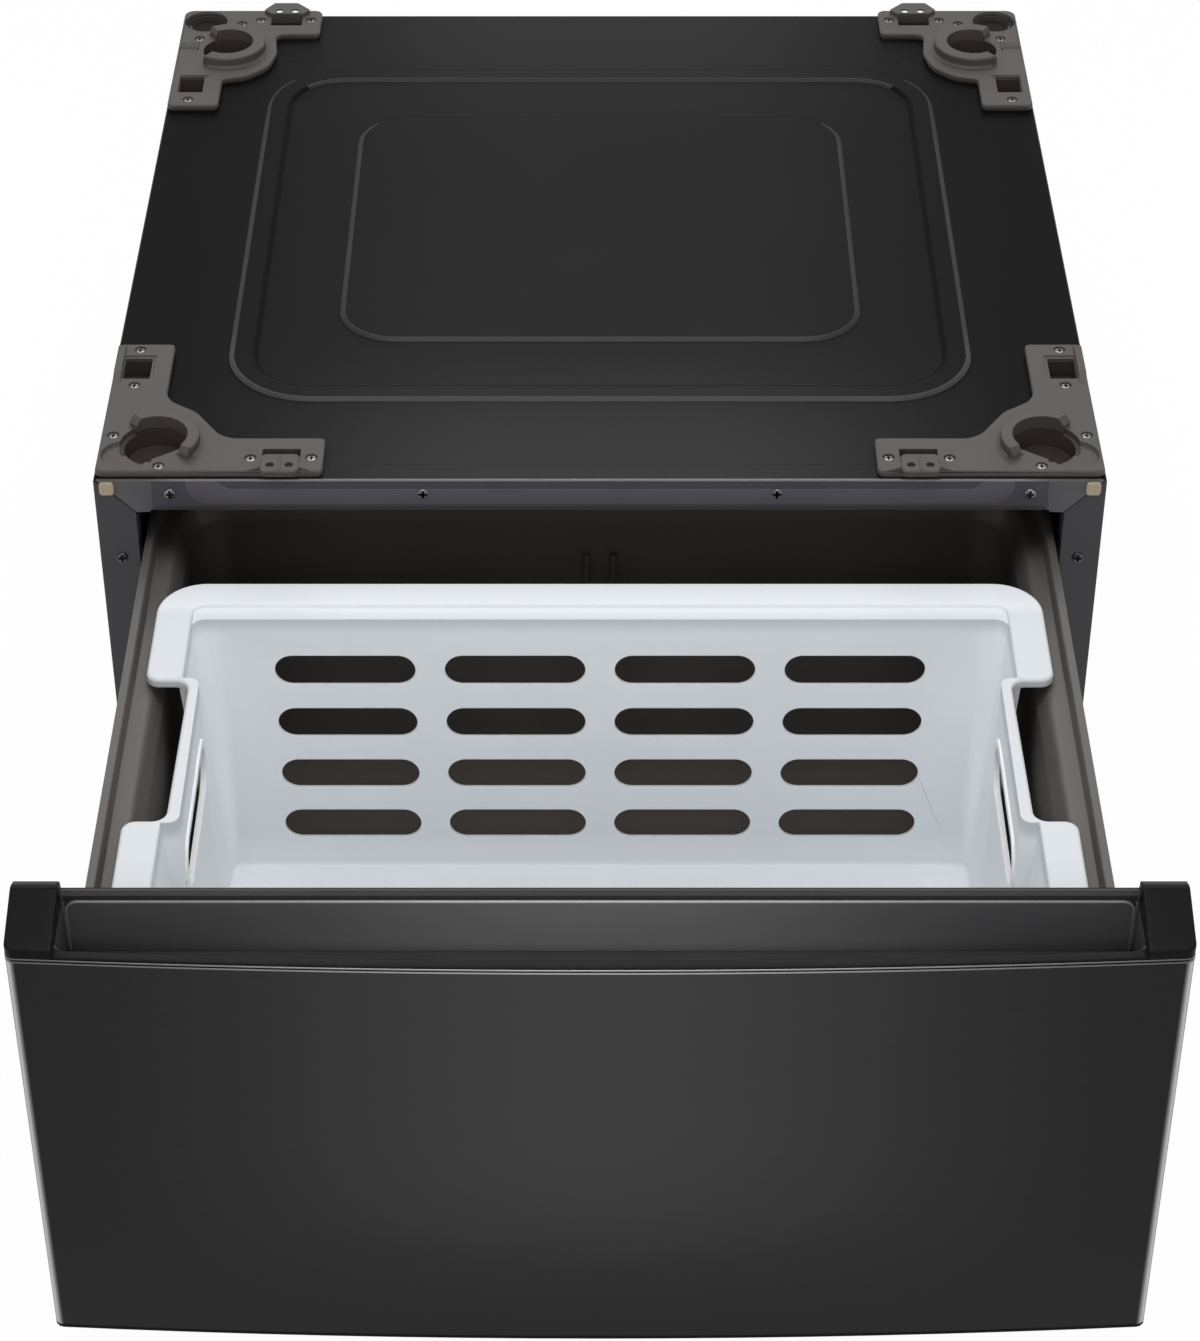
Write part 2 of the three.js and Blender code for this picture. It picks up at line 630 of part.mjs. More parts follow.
// Part of a ring between two angles in degrees, as a shape.
function ringSector(u, v, inner, outer, fromDeg, toDeg, steps = 12) {
  const shape = new THREE.Shape();
  const place = (radius, k) => {
    const turn = THREE.MathUtils.degToRad(fromDeg + ((toDeg - fromDeg) * k) / steps);
    return [u + radius * Math.cos(turn), v + radius * Math.sin(turn)];
  };
  shape.moveTo(...place(outer, 0));
  for (let k = 1; k <= steps; k += 1) shape.lineTo(...place(outer, k));
  for (let k = steps; k >= 0; k -= 1) shape.lineTo(...place(inner, k));
  return shape;
}

// The cup that a laundry machine's foot stands in, with the collar round most of it between two
// angles, and the space inside.
function footWell(radius, x, y, fromDeg, toDeg) {
  const cupBottom = BRACKET_TOP - WELL_DEPTH - WELL_WALL;
  const collar = ringSector(x, y, radius - 1, COLLAR_OUTER, fromDeg, toDeg);
  return {
    cup: join(
      rod('z', x, y, radius + WELL_WALL, cupBottom, BRACKET_TOP),
      extrude('z', collar, BRACKET_TOP - 1, BRACKET_TOP + COLLAR_HEIGHT),
    ),
    space: rod('z', x, y, radius, BRACKET_TOP - WELL_DEPTH, BRACKET_TOP + COLLAR_HEIGHT + 1, 20),
  };
}

function screwSeats(places) {
  return places.map(([x, y]) => rod('z', x, y, SEAT_RADIUS, BRACKET_TOP - SEAT_DEPTH, BRACKET_TOP + 1, 6));
}

// Takes [a, b, ...] corners of the left front bracket to [x, y, ...], or of the left rear one.
function atFront(corners) {
  return corners.map(([a, b, ...rest]) => [-SIDE + a, b, ...rest]);
}

function atRear(corners) {
  return corners.map(([a, b, ...rest]) => [-SIDE + a, CABINET_DEPTH - b, ...rest]);
}

function frontBracket() {
  const x = (a) => -SIDE + a;
  const plate = extrude('z', outline(atFront(FRONT_PLATE), 3), TOP_HEIGHT, BRACKET_TOP);
  const wellX = x(FRONT_WELL.a);
  const well = footWell(FRONT_WELL.radius, wellX, FRONT_WELL.b, -37, 123);
  const ledge = extrude('z', outline(atFront(FRONT_LEDGE)), TOP_HEIGHT, BRACKET_TOP + 1);
  const shoulder = extrude('z', ringSector(wellX, FRONT_WELL.b, FRONT_WELL.radius - 2,
    FRONT_WELL.radius + 3, 123, 205, 8), BRACKET_TOP - 4, BRACKET_TOP + 1);
  const { a, b, half, corner, holes } = FRONT_PAD;
  const end = -PAD_OVERHANG + SHEET;
  const pad = extrude('z', outline([
    [x(a - half), b, corner], [x(a - half), end, corner], [x(a + half), end, corner],
    [x(a + half), b, corner],
  ], 2), BRACKET_TOP - 0.5, BRACKET_TOP + PAD_RISE);
  const padHoles = [-1, 1].map((side) => rod('z', x(a + (side * PAD_HOLE_PITCH) / 2), holes,
    PAD_HOLE_RADIUS, BRACKET_TOP - 1, BRACKET_TOP + PAD_RISE + 1, 8));
  const crest = BRACKET_TOP + RIB_HEIGHT;
  const rib = extrude('x', outline([
    [FRONT_RIB.foot, BRACKET_TOP - 1], [FRONT_RIB.foot, BRACKET_TOP], [FRONT_RIB.crest, crest],
    [FRONT_RIB.crestEnd, crest], [FRONT_RIB.end, BRACKET_TOP - 1],
  ]), x(BRACKET_EDGE), x(FRONT_RIB.a));
  const slot = LATCH_SLOT;
  return cut(
    join(plate, well.cup, pad, rib),
    cut(well.space, ledge),
    shoulder,
    rod('z', x(FRONT_DISH.a), FRONT_DISH.b, FRONT_DISH.radius, BRACKET_TOP - RECESS_DEPTH, BRACKET_TOP + 1),
    block(x(slot.a0), x(slot.a1), slot.b0, slot.b1, TOP_HEIGHT - 1, BRACKET_TOP + 1),
    block(x(a - half), x(a + half), FRONT_STRAP_SLOT.b0, FRONT_STRAP_SLOT.b1, TOP_HEIGHT - 1,
      BRACKET_TOP + 1),
    ...padHoles,
    ...screwSeats(atFront(FRONT_SEATS)),
  );
}

function rearBracket() {
  const x = (a) => -SIDE + a;
  const y = (b) => CABINET_DEPTH - b;
  const plate = extrude('z', outline(atRear(REAR_PLATE), 3), TOP_HEIGHT, BRACKET_TOP);
  const well = footWell(REAR_WELL.radius, x(REAR_WELL.a), y(REAR_WELL.b), -128, 120);
  const { a, half, corner, holes, relief } = REAR_PAD;
  const tab = extrude('z', outline([
    ...atRear(REAR_TAB), [x(a + half), y(-PAD_OVERHANG), corner], [x(a - half), y(-PAD_OVERHANG), corner],
  ], 2), BRACKET_TOP - 1, BRACKET_TOP + PAD_RISE);
  const padHoles = [-1, 1].map((side) => rod('z', x(a + (side * PAD_HOLE_PITCH) / 2), y(holes),
    PAD_HOLE_RADIUS, BRACKET_TOP - 3, BRACKET_TOP + PAD_RISE + 1, 8));
  const slot = LATCH_SLOT;
  const strap = REAR_STRAP_SLOT;
  const recess = CORNER_RECESS;
  return cut(
    join(cut(plate, block(x(a - half), x(a + half), y(relief), y(-1), TOP_HEIGHT - 1, BRACKET_TOP - 1)),
      well.cup, tab),
    well.space,
    rod('z', x(recess.a), y(recess.b), recess.radius, BRACKET_TOP - RECESS_DEPTH, BRACKET_TOP + 1),
    rod('z', x(recess.a), y(recess.b), recess.hole, TOP_HEIGHT - 1, BRACKET_TOP + 1, 10),
    block(x(slot.a0), x(slot.a1), y(slot.b1), y(slot.b0), TOP_HEIGHT - 1, BRACKET_TOP + 1),
    block(x(a - strap.half), x(a + strap.half), y(strap.b1), y(strap.b0), TOP_HEIGHT - 1, BRACKET_TOP + 1),
    ...padHoles,
    ...screwSeats(atRear(REAR_SEATS)),
  );
}

function buildBrackets() {
  addPair('front_bracket', frontBracket(), bracketPlastic);
  addPair('rear_bracket', rearBracket(), bracketPlastic);
}

// ---------------------------------------------------------------- feet

function footStud(x, y) {
  return rod('z', x, y, STUD_RADIUS, PAD_DISC, STUD_TOP, 12);
}

function footPad(x, y) {
  const disc = rod('z', x, y, PAD_RADIUS, 0, PAD_DISC);
  const hexagon = rod('z', x, y, PAD_HEX_RADIUS, PAD_DISC - 1, PAD_HEIGHT, 6);
  return cut(join(disc, hexagon), rod('z', x, y, STUD_RADIUS + FIT, PAD_DISC, PAD_HEIGHT + 1, 12));
}

function lockNut(x, y) {
  const top = BASE_RAIL_WEB_HEIGHT;
  return cut(
    rod('z', x, y, NUT_RADIUS, top - NUT_HEIGHT, top, 6),
    rod('z', x, y, STUD_RADIUS + FIT, top - NUT_HEIGHT - 1, top + 1, 12),
  );
}

function buildFeet() {
  const rows = [['front', FOOT_INSET_END], ['rear', CABINET_DEPTH - FOOT_INSET_END]];
  const x = -SIDE + FOOT_INSET_SIDE;
  rows.forEach(([row, y]) => {
    addPair(`foot_stud_${row}`, footStud(x, y), zincSteel);
    addPair(`foot_pad_${row}`, footPad(x, y), footPlastic);
    addPair(`lock_nut_${row}`, lockNut(x, y), zincSteel);
  });
}

// ---------------------------------------------------------------- runners

const RUNNER_OUTSIDE = TUB_HALF_WIDTH + RUNNER_THICKNESS; // |x| of the outer member's back

// A runner member on the left: a C section whose back is at |x| = back and whose flanges reach
// towards |x| = tip, at the given half height.
function runnerMember(back, tip, halfHeight, y0, y1) {
  const inward = Math.sign(back - tip);
  const face = back - inward * SHEET;
  const z = RUNNER_CENTRE_HEIGHT;
  const profile = outline([
    [-back, z - halfHeight], [-back, z + halfHeight], [-tip, z + halfHeight],
    [-tip, z + halfHeight - SHEET], [-face, z + halfHeight - SHEET], [-face, z - halfHeight + SHEET],
    [-tip, z - halfHeight + SHEET], [-tip, z - halfHeight],
  ]);
  return extrude('y', profile, y0, y1);
}

// The channel that carries an outer member off the side panel, and its tab behind the column.
function runnerSupport() {
  const half = SUPPORT_HEIGHT / 2;
  const z = RUNNER_CENTRE_HEIGHT;
  const web = -RUNNER_OUTSIDE;
  const wall = -INSIDE;
  const profile = outline([
    [web, z - half], [web, z + half], [wall + SHEET, z + half], [wall + SHEET, z + half + SUPPORT_FOOT],
    [wall, z + half + SUPPORT_FOOT], [wall, z + half - SHEET], [web - SHEET, z + half - SHEET],
    [web - SHEET, z - half + SHEET], [wall, z - half + SHEET], [wall, z - half - SUPPORT_FOOT],
    [wall + SHEET, z - half - SUPPORT_FOOT], [wall + SHEET, z - half],
  ]);
  const rearEnd = RUNNER_START + RUNNER_LENGTH + 2 * SUPPORT_FOOT;
  const tabTop = COLUMN_SCREW_HEIGHT + SUPPORT_FOOT;
  const tabEdge = -COLUMN_INNER - SHEET - 2 * FIT;
  return cut(
    join(
      extrude('y', profile, RAIL_START, rearEnd),
      block(wall, wall + SHEET, SHEET, RAIL_START + SUPPORT_HEIGHT, z, tabTop),
      block(wall, tabEdge, SHEET, 2 * SHEET, z + half, tabTop),
    ),
    columnScrewHole(),
  );
}

function buildRunners() {
  const y0 = RUNNER_START;
  const y1 = y0 + RUNNER_LENGTH;
  const half = RUNNER_HEIGHT / 2;
  const nest = SHEET + RUNNER_GAP;
  addPair('runner_support', runnerSupport(), frameSteel);
  addPair('runner_outer', runnerMember(RUNNER_OUTSIDE, TUB_HALF_WIDTH + 2, half, y0, y1), zincSteel);
  addPair('runner_middle', runnerMember(RUNNER_OUTSIDE - nest, TUB_HALF_WIDTH + 1.6, half - nest,
    y0 - TRAVEL / 2, y1 - TRAVEL / 2), zincSteel);
  addPair('runner_inner', runnerMember(TUB_HALF_WIDTH, RUNNER_OUTSIDE - 2 * nest - RUNNER_GAP,
    half - 2 * nest, y0 - TRAVEL, y1 - TRAVEL), zincSteel);
}

// ---------------------------------------------------------------- drawer front

// Points along the bowed front face, from the left to the right, moved back by the given inset.
function bowedFront(halfWidth, inset, steps = 16) {
  const radius = (SIDE * SIDE + FRONT_BOW * FRONT_BOW) / (2 * FRONT_BOW);
  const points = [];
  for (let k = 0; k <= steps; k += 1) {
    const x = -halfWidth + (2 * halfWidth * k) / steps;
    points.push([x, FRONTMOST_Y + inset + radius - Math.sqrt(radius * radius - x * x)]);
  }
  return points;
}

// The drawer front's outline seen from above, set in all round.
function frontPlan(inset) {
  const half = SIDE - inset;
  const rear = FRONT_REAR_Y - INNER_PLATE - inset;
  const front = bowedFront(half, inset);
  front[0].push(SKIN_CORNER - inset);
  front[front.length - 1].push(SKIN_CORNER - inset);
  return outline([...front, [half, rear], [-half, rear]], 3);
}

function frontSkin() {
  const bottom = FRONT_BOTTOM + BOTTOM_CAP;
  const shell = cut(
    extrude('z', frontPlan(0), bottom, SKIN_TOP),
    extrude('z', frontPlan(SHEET), bottom - 1, SKIN_TOP + 1),
  );
  const opening = SIDE - SKIN_RETURN;
  const rear = FRONT_REAR_Y - INNER_PLATE;
  return cut(shell, block(-opening, opening, rear - 2 * SHEET, rear + 1, bottom - 1, SKIN_TOP + 1));
}

function earProfile(lower) {
  const rear = FRONT_REAR_Y - lower;
  const front = FRONT_END_Y + lower;
  return outline([
    [front - FRONT_BOW - 1, CAP_BOTTOM - 1], [rear, CAP_BOTTOM - 1], [rear, EAR_TOP - 3.7 - lower],
    [rear - 8.3, EAR_TOP - lower], [rear - 41.4, EAR_TOP - 9.8 - lower], [front + 2, EAR_TOP - 13 - lower],
    [front - 0.1, EAR_TOP - 18 - lower], [front - FRONT_BOW - 1, EAR_TOP - 18 - lower],
  ]);
}

// Top cap of the drawer front: two raised ears, the pull lip and the hand pocket behind it.
function topCap() {
  const earInner = SIDE - EAR_WIDTH;
  const pocketRear = FRONT_REAR_Y - CAP_WALL;
  const upper = join(
    extrude('z', frontPlan(0), SKIN_TOP, EAR_TOP + 1),
    block(-SIDE, SIDE, FRONT_REAR_Y - INNER_PLATE - 1, FRONT_REAR_Y, SKIN_TOP, EAR_TOP + 1),
  );
  const lowerRear = FRONT_REAR_Y - INNER_PLATE;
  const lower = join(
    extrude('z', frontPlan(SHEET + FIT), CAP_BOTTOM, SKIN_TOP),
    block(-SIDE + SKIN_RETURN + FIT, SIDE - SKIN_RETURN - FIT, lowerRear - 3 * SHEET, lowerRear,
      CAP_BOTTOM, SKIN_TOP),
    block(-SIDE + SHEET, SIDE - SHEET, lowerRear, FRONT_REAR_Y, CAP_BOTTOM, SKIN_TOP),
  );
  const body = join(upper, lower).intersect(extrude('x', earProfile(0), -SIDE, SIDE));
  const lipRear = bowedFront(earInner, LIP_THICKNESS);
  const pocket = extrude('z', outline([...lipRear, [earInner, pocketRear], [-earInner, pocketRear]]),
    POCKET_FLOOR, EAR_TOP + 2);
  const aboveLip = block(-earInner, earInner, FRONTMOST_Y - 1, pocketRear - CAP_WALL, LIP_TOP, EAR_TOP + 2);
  const aboveRim = block(-earInner, earInner, pocketRear - 1, FRONT_REAR_Y + 1, REAR_RIM_TOP, EAR_TOP + 2);
  const earHollow = block(-SIDE + CAP_WALL, -earInner - CAP_WALL, FRONT_END_Y + 2 * CAP_WALL,
    FRONT_REAR_Y - INNER_PLATE - CAP_WALL, CAP_BOTTOM - 1, EAR_TOP)
    .intersect(extrude('x', earProfile(CAP_WALL), -SIDE, SIDE));
  return cut(body, pocket, aboveLip, aboveRim, earHollow, mirrored(earHollow));
}

function handleInsert() {
  const half = SIDE - EAR_WIDTH - 1.5;
  const rear = FRONT_REAR_Y - CAP_WALL;
  const shape = outline([
    [-half, POCKET_FLOOR], [half, POCKET_FLOOR],
    [half, INSERT_TOP, INSERT_RADIUS], [-half, INSERT_TOP, INSERT_RADIUS],
  ]);
  return extrude('y', shape, rear - INSERT_THICKNESS, rear);
}

const FRONT_SCREWS = [[-180, 110], [180, 110], [-180, 225], [180, 225]];
const FRONT_SCREW_Y = FRONT_REAR_Y + TUB_WALL; // inner face of the tub's front wall

function frontScrewHoles() {
  return FRONT_SCREWS.map(([x, z]) => rod('y', x, z, FRAME_HOLE, FRONT_REAR_Y - 2 * INNER_PLATE,
    FRONT_SCREW_Y + 1, 10));
}

// A pan head screw driven forwards, from inside the tub into the drawer front.
function frontScrew(x, z) {
  return join(
    rod('y', x, z, SCREW_HEAD_RADIUS, FRONT_SCREW_Y, FRONT_SCREW_Y + SCREW_HEAD, 12),
    rod('y', x, z, SCREW_RADIUS, FRONT_SCREW_Y - SCREW_LENGTH, FRONT_SCREW_Y + SCREW_HEAD / 2, 10),
  );
}

function buildFront() {
  add('front_skin', frontSkin(), brushedSkin);
  add('front_top_cap', topCap(), capPlastic);
  add('handle_insert', handleInsert(), brushedSkin);
  add('front_bottom_cap', extrude('z', frontPlan(0), FRONT_BOTTOM, FRONT_BOTTOM + BOTTOM_CAP), capPlastic);
  const plate = block(-SIDE + SHEET, SIDE - SHEET, FRONT_REAR_Y - INNER_PLATE, FRONT_REAR_Y,
    FRONT_BOTTOM + BOTTOM_CAP, CAP_BOTTOM);
  add('front_inner_plate', cut(plate, ...frontScrewHoles()), frameSteel);
  FRONT_SCREWS.forEach(([x, z], i) => add(`front_screw_${i + 1}`, frontScrew(x, z), zincSteel));
}

// ---------------------------------------------------------------- tub

function drawerTub() {
  const front = FRONT_REAR_Y;
  const section = (half, rear, z, radius, inset = 0) => ({
    x0: -half, x1: half, y0: front + inset, y1: rear, radius, z,
  });
  const half = TUB_HALF_WIDTH;
  const corner = TUB_CORNER;
  const wall = TUB_WALL;
  const flareTop = LEDGE_HEIGHT - 3 * wall;
  const outside = loft([
    section(half - TUB_DRAFT, TUB_REAR - TUB_DRAFT, TUB_FLOOR - wall, corner),
    section(half, TUB_REAR, RUNNER_CENTRE_HEIGHT - RUNNER_HEIGHT, corner),
    section(half, TUB_REAR, TUB_FLARE_BOTTOM, corner),
    section(TUB_RIM_HALF_WIDTH, TUB_REAR + TUB_REAR_RIM, flareTop, corner),
    section(TUB_RIM_HALF_WIDTH, TUB_REAR + TUB_REAR_RIM, TUB_RIM_TOP, corner),
  ]);
  const rimInner = TUB_RIM_HALF_WIDTH - TUB_RIM_WIDTH;
  const rearLedge = TUB_REAR + TUB_REAR_RIM - TUB_RIM_WIDTH;
  const inside = loft([
    section(half - TUB_DRAFT - wall, TUB_REAR - TUB_DRAFT - wall, TUB_FLOOR, corner - wall, wall),
    section(half - wall, TUB_REAR - wall, RUNNER_CENTRE_HEIGHT - RUNNER_HEIGHT, corner - wall, wall),
    section(half - wall, TUB_REAR - wall, TUB_FLARE_BOTTOM + wall, corner - wall, wall),
    section(LEDGE_INNER, TUB_REAR + wall, LEDGE_HEIGHT, corner - wall, wall),
  ]);
  const aboveLedge = loft([
    section(rimInner - 1.2, rearLedge - 1.2, LEDGE_HEIGHT, corner - wall, wall),
    section(rimInner, rearLedge, TUB_RIM_TOP + 1, corner - wall, wall),
  ]);
  const ribs = [-1, 1].map((side) => block(side * 9.5 - 2, side * 9.5 + 2,
    TUB_REAR - wall - 5, TUB_REAR - wall / 2, 209, 231));
  return cut(join(cut(outside, inside, aboveLedge), ...ribs), ...frontScrewHoles());
}

// ---------------------------------------------------------------- basket

// One side of the basket's outer rim with its hand notch, as outline corners from rear to front.
function rimSide(side) {
  const edge = side * BASKET_HALF_WIDTH;
  const notch = side * NOTCH_RIM_OUTER;
  const y0 = BASKET_MIDDLE - NOTCH_LENGTH / 2;
  const y1 = BASKET_MIDDLE + NOTCH_LENGTH / 2;
  const corners = [
    [edge, BASKET_REAR, BASKET_RIM_CORNER], [edge, y1, 9], [notch, y1, 9],
    [notch, y0, 9], [edge, y0, 9], [edge, BASKET_FRONT, BASKET_RIM_CORNER],
  ];
  return side < 0 ? corners : corners.reverse();
}

// A rounded rectangle inside or outside the basket's wall, at a height.
function basketSection(half, endInset, radius, z) {
  return {
    x0: -half, x1: half, y0: BASKET_FRONT + endInset, y1: BASKET_REAR - endInset, radius, z,
  };
}

function basket() {
  const wall = BASKET_WALL;
  const rimBottom = BASKET_RIM_TOP - BASKET_RIM_THICKNESS;
  const stepTop = BASKET_RIM_TOP - BASKET_STEP_DROP;
  const half = BASKET_HALF_WIDTH - BASKET_RIM;
  const endTop = BASKET_RIM + BASKET_STEP;
  const floor = BASKET_BOTTOM + wall;
  const rim = extrude('z', outline([...rimSide(-1), ...rimSide(1)], 4), rimBottom, BASKET_RIM_TOP);
  const outside = loft([
    basketSection(half - BASKET_SIDE_DRAFT + wall, endTop + BASKET_END_DRAFT - wall, 20, BASKET_BOTTOM),
    basketSection(half + wall, endTop - wall, 26, rimBottom + 1),
  ]);
  const inside = loft([
    basketSection(half - BASKET_SIDE_DRAFT, endTop + BASKET_END_DRAFT, 17.5, floor),
    basketSection(half, endTop, 23.5, stepTop),
  ]);
  const step = loft([
    basketSection(half, BASKET_RIM, 22, stepTop),
    basketSection(half, BASKET_RIM, 22, BASKET_RIM_TOP + 1),
  ]);
  const y0 = BASKET_MIDDLE - NOTCH_LENGTH / 2;
  const y1 = BASKET_MIDDLE + NOTCH_LENGTH / 2;
  const high = BASKET_RIM_TOP + 2;
  const recess = (limit, grow, top) => block(-SIDE, -limit, y0 - grow, y1 + grow, BASKET_BOTTOM - 1, top);
  const outerRecess = recess(NOTCH_RIM_INNER + wall, 0, high);
  const shell = cut(outside, outerRecess, mirrored(outerRecess));
  const innerRecess = recess(NOTCH_RIM_INNER, wall, high);
  const space = cut(join(inside, step), innerRecess, mirrored(innerRecess));
  const slots = [];
  for (let row = 0; row < SLOT_ROWS; row += 1) {
    for (let column = 0; column < SLOT_COLUMNS; column += 1) {
      const x = (column - (SLOT_COLUMNS - 1) / 2) * SLOT_PITCH_X;
      const z = SLOT_TOP_CENTRE_HEIGHT - row * SLOT_PITCH_Z;
      slots.push(extrude('y', stadium(x, z, SLOT_LENGTH, SLOT_HEIGHT), BASKET_FRONT, BASKET_REAR));
    }
  }
  const handHole = extrude('x',
    stadium(BASKET_MIDDLE, HAND_HOLE_CENTRE_HEIGHT, HAND_HOLE_LENGTH, HAND_HOLE_HEIGHT), -SIDE, SIDE);
  return cut(join(shell, rim), space, ...slots, handHole);
}

// ---------------------------------------------------------------- assembly

buildCabinet();
buildBrackets();
buildFeet();
buildRunners();
buildFront();
add('drawer_tub', drawerTub(), tubPlastic);
add('basket', basket(), basketPlastic);

export default pedestal;
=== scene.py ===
import math

import bmesh
import bpy
from mathutils import Matrix, Vector


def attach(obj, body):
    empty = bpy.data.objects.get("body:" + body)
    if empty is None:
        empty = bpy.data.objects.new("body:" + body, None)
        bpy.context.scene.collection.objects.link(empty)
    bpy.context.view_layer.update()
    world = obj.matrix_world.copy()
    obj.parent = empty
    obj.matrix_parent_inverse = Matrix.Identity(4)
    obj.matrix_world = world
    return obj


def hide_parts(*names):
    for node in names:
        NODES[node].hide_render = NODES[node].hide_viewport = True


# Laundry pedestal with its drawer pulled out: finishes, fine shapes, light and camera.
#
# Shapes are laid out in millimetres from the cabinet's front plane (y = 0) and the floor (z = 0),
# and piece() moves them to the part's frame and to metres. On a bracket, a is measured from the
# cabinet's side face and b from its front or rear plane.

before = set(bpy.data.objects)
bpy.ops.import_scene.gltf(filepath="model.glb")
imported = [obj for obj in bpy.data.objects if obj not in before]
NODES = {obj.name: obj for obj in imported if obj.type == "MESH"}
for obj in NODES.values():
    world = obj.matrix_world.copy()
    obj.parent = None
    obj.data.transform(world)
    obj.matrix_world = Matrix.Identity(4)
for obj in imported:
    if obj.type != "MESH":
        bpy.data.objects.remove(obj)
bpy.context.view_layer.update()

MM = 0.001
ORIGIN_Y = 101.25
SIDE = 343.0
DEPTH = 668.6
SHEET = 1.2
SHEET_TOP = 338.0
BRACKET_TOP = 344.0
COLLAR_TOP = 352.0
FRONT_REAR = -411.3  # rear face of the drawer front, drawer out
FRONTMOST = -471.6
FRONT_BOW = 10.0
SKIN_TOP = 322.7
CAP_BOTTOM = 285.6
LIP_TOP = 326.1
RIM_TOP = 335

FRONT_WELL = (40.0, 34.0, 22.0)  # a, b, radius
REAR_WELL = (42.5, 70.2, 20.2)
WELL_FLOOR = 328.0
SOLE_TOP = 340.0
WELL_SHADE_TOP = 343.0
SLOT_SHADE_TOP = 340.5
COLLAR_OUTER = 30.3
SLOT_A = (8.0, 27.0)
SLOT_B = (116.0, 142.0)
REAR_SLOT_B = (113.4, 138.6)
RECESS = (20.3, 21.3)  # the rear bracket's round recess
FRONT_SEATS = [(17.2, 152.5), (17.5, 107), (9.5, 45), (44, 8.2), (105.7, 17.4), (147, 18.1)]
REAR_SEATS = [(17, 151.6), (17.3, 50.5), (49.8, 24.6), (64.8, 18.4), (105.8, 17.9)]
FLANGE_SCREWS = [-291.5, -120, 120, 291.5]


# ---------------------------------------------------------------- camera

photo_camera = bpy.data.objects.new("photo_camera", bpy.data.cameras.new("photo_camera"))
photo_camera.data.lens = 94.19
photo_camera.data.sensor_width = 36
photo_camera.location = (0, -2.0492, 1.6963)
photo_camera.rotation_euler = (math.radians(51.998), 0, 0)
bpy.context.scene.collection.objects.link(photo_camera)
bpy.context.scene.camera = photo_camera


# ---------------------------------------------------------------- pattern groups

def pattern_group(name, inputs, outputs):
    """An empty shader group with a Place input, number inputs and number outputs."""
    group = bpy.data.node_groups.new(name, "ShaderNodeTree")
    group.interface.new_socket("Place", in_out="INPUT", socket_type="NodeSocketVector")
    for label in inputs:
        group.interface.new_socket(label, in_out="INPUT", socket_type="NodeSocketFloat")
    for label in outputs:
        group.interface.new_socket(label, in_out="OUTPUT", socket_type="NodeSocketFloat")
    return group, group.nodes.new("NodeGroupInput"), group.nodes.new("NodeGroupOutput")


def noise(group, place, scale, detail=2.0, roughness=0.5):
    """A noise whose scale is a number or comes from a socket."""
    made = group.nodes.new("ShaderNodeTexNoise")
    made.inputs["Detail"].default_value = detail
    made.inputs["Roughness"].default_value = roughness
    group.links.new(place, made.inputs["Vector"])
    if isinstance(scale, (int, float)):
        made.inputs["Scale"].default_value = scale
    else:
        group.links.new(scale, made.inputs["Scale"])
    return made.outputs["Fac"]


def stretched(group, place, factors):
    """The place with each axis scaled, for streaks along an axis."""
    made = group.nodes.new("ShaderNodeMapping")
    made.inputs["Scale"].default_value = factors
    group.links.new(place, made.inputs["Vector"])
    return made.outputs["Vector"]


def blended(group, share, first, second):
    """A mix of two values by a fixed share of the second."""
    made = group.nodes.new("ShaderNodeMix")
    made.inputs[0].default_value = share
    group.links.new(first, made.inputs[2])
    group.links.new(second, made.inputs[3])
    return made.outputs[0]


def moulded_grain():
    """Fine spark-eroded grain with a slow cloud of shade, as on a moulded part."""
    group, start, end = pattern_group("moulded_grain", ["Grain Scale"], ["Shade", "Height"])
    place = start.outputs["Place"]
    fine = noise(group, place, start.outputs["Grain Scale"], 4.0, 0.6)
    cloud = noise(group, place, 14.0, 3.0)
    group.links.new(blended(group, 0.3, cloud, fine), end.inputs["Shade"])
    group.links.new(fine, end.inputs["Height"])
    return group


def powder_coat():
    """The pebbled skin of baked powder paint, and a slow change of shade."""
    group, start, end = pattern_group("powder_coat", ["Pebble Scale"], ["Shade", "Height"])
    place = start.outputs["Place"]
    pebbles = noise(group, place, start.outputs["Pebble Scale"], 1.0, 0.4)
    waves = noise(group, place, 9.0, 2.0)
    group.links.new(blended(group, 0.35, waves, pebbles), end.inputs["Shade"])
    group.links.new(pebbles, end.inputs["Height"])
    return group


def ramp(group, value, low, high, start=0.0, end=1.0, kind="SMOOTHSTEP"):
    """A value taken from one range to another."""
    made = group.nodes.new("ShaderNodeMapRange")
    made.interpolation_type = kind
    for label, number in (("From Min", low), ("From Max", high), ("To Min", start), ("To Max", end)):
        made.inputs[label].default_value = number
    group.links.new(value, made.inputs["Value"])
    return made.outputs["Result"]


def math_node(group, operation, first, second=None):
    """An arithmetic step on sockets or numbers."""
    made = group.nodes.new("ShaderNodeMath")
    made.operation = operation
    for i, value in enumerate((first, second)):
        if isinstance(value, (int, float)):
            made.inputs[i].default_value = value
        elif value is not None:
            group.links.new(value, made.inputs[i])
    return made.outputs[0]


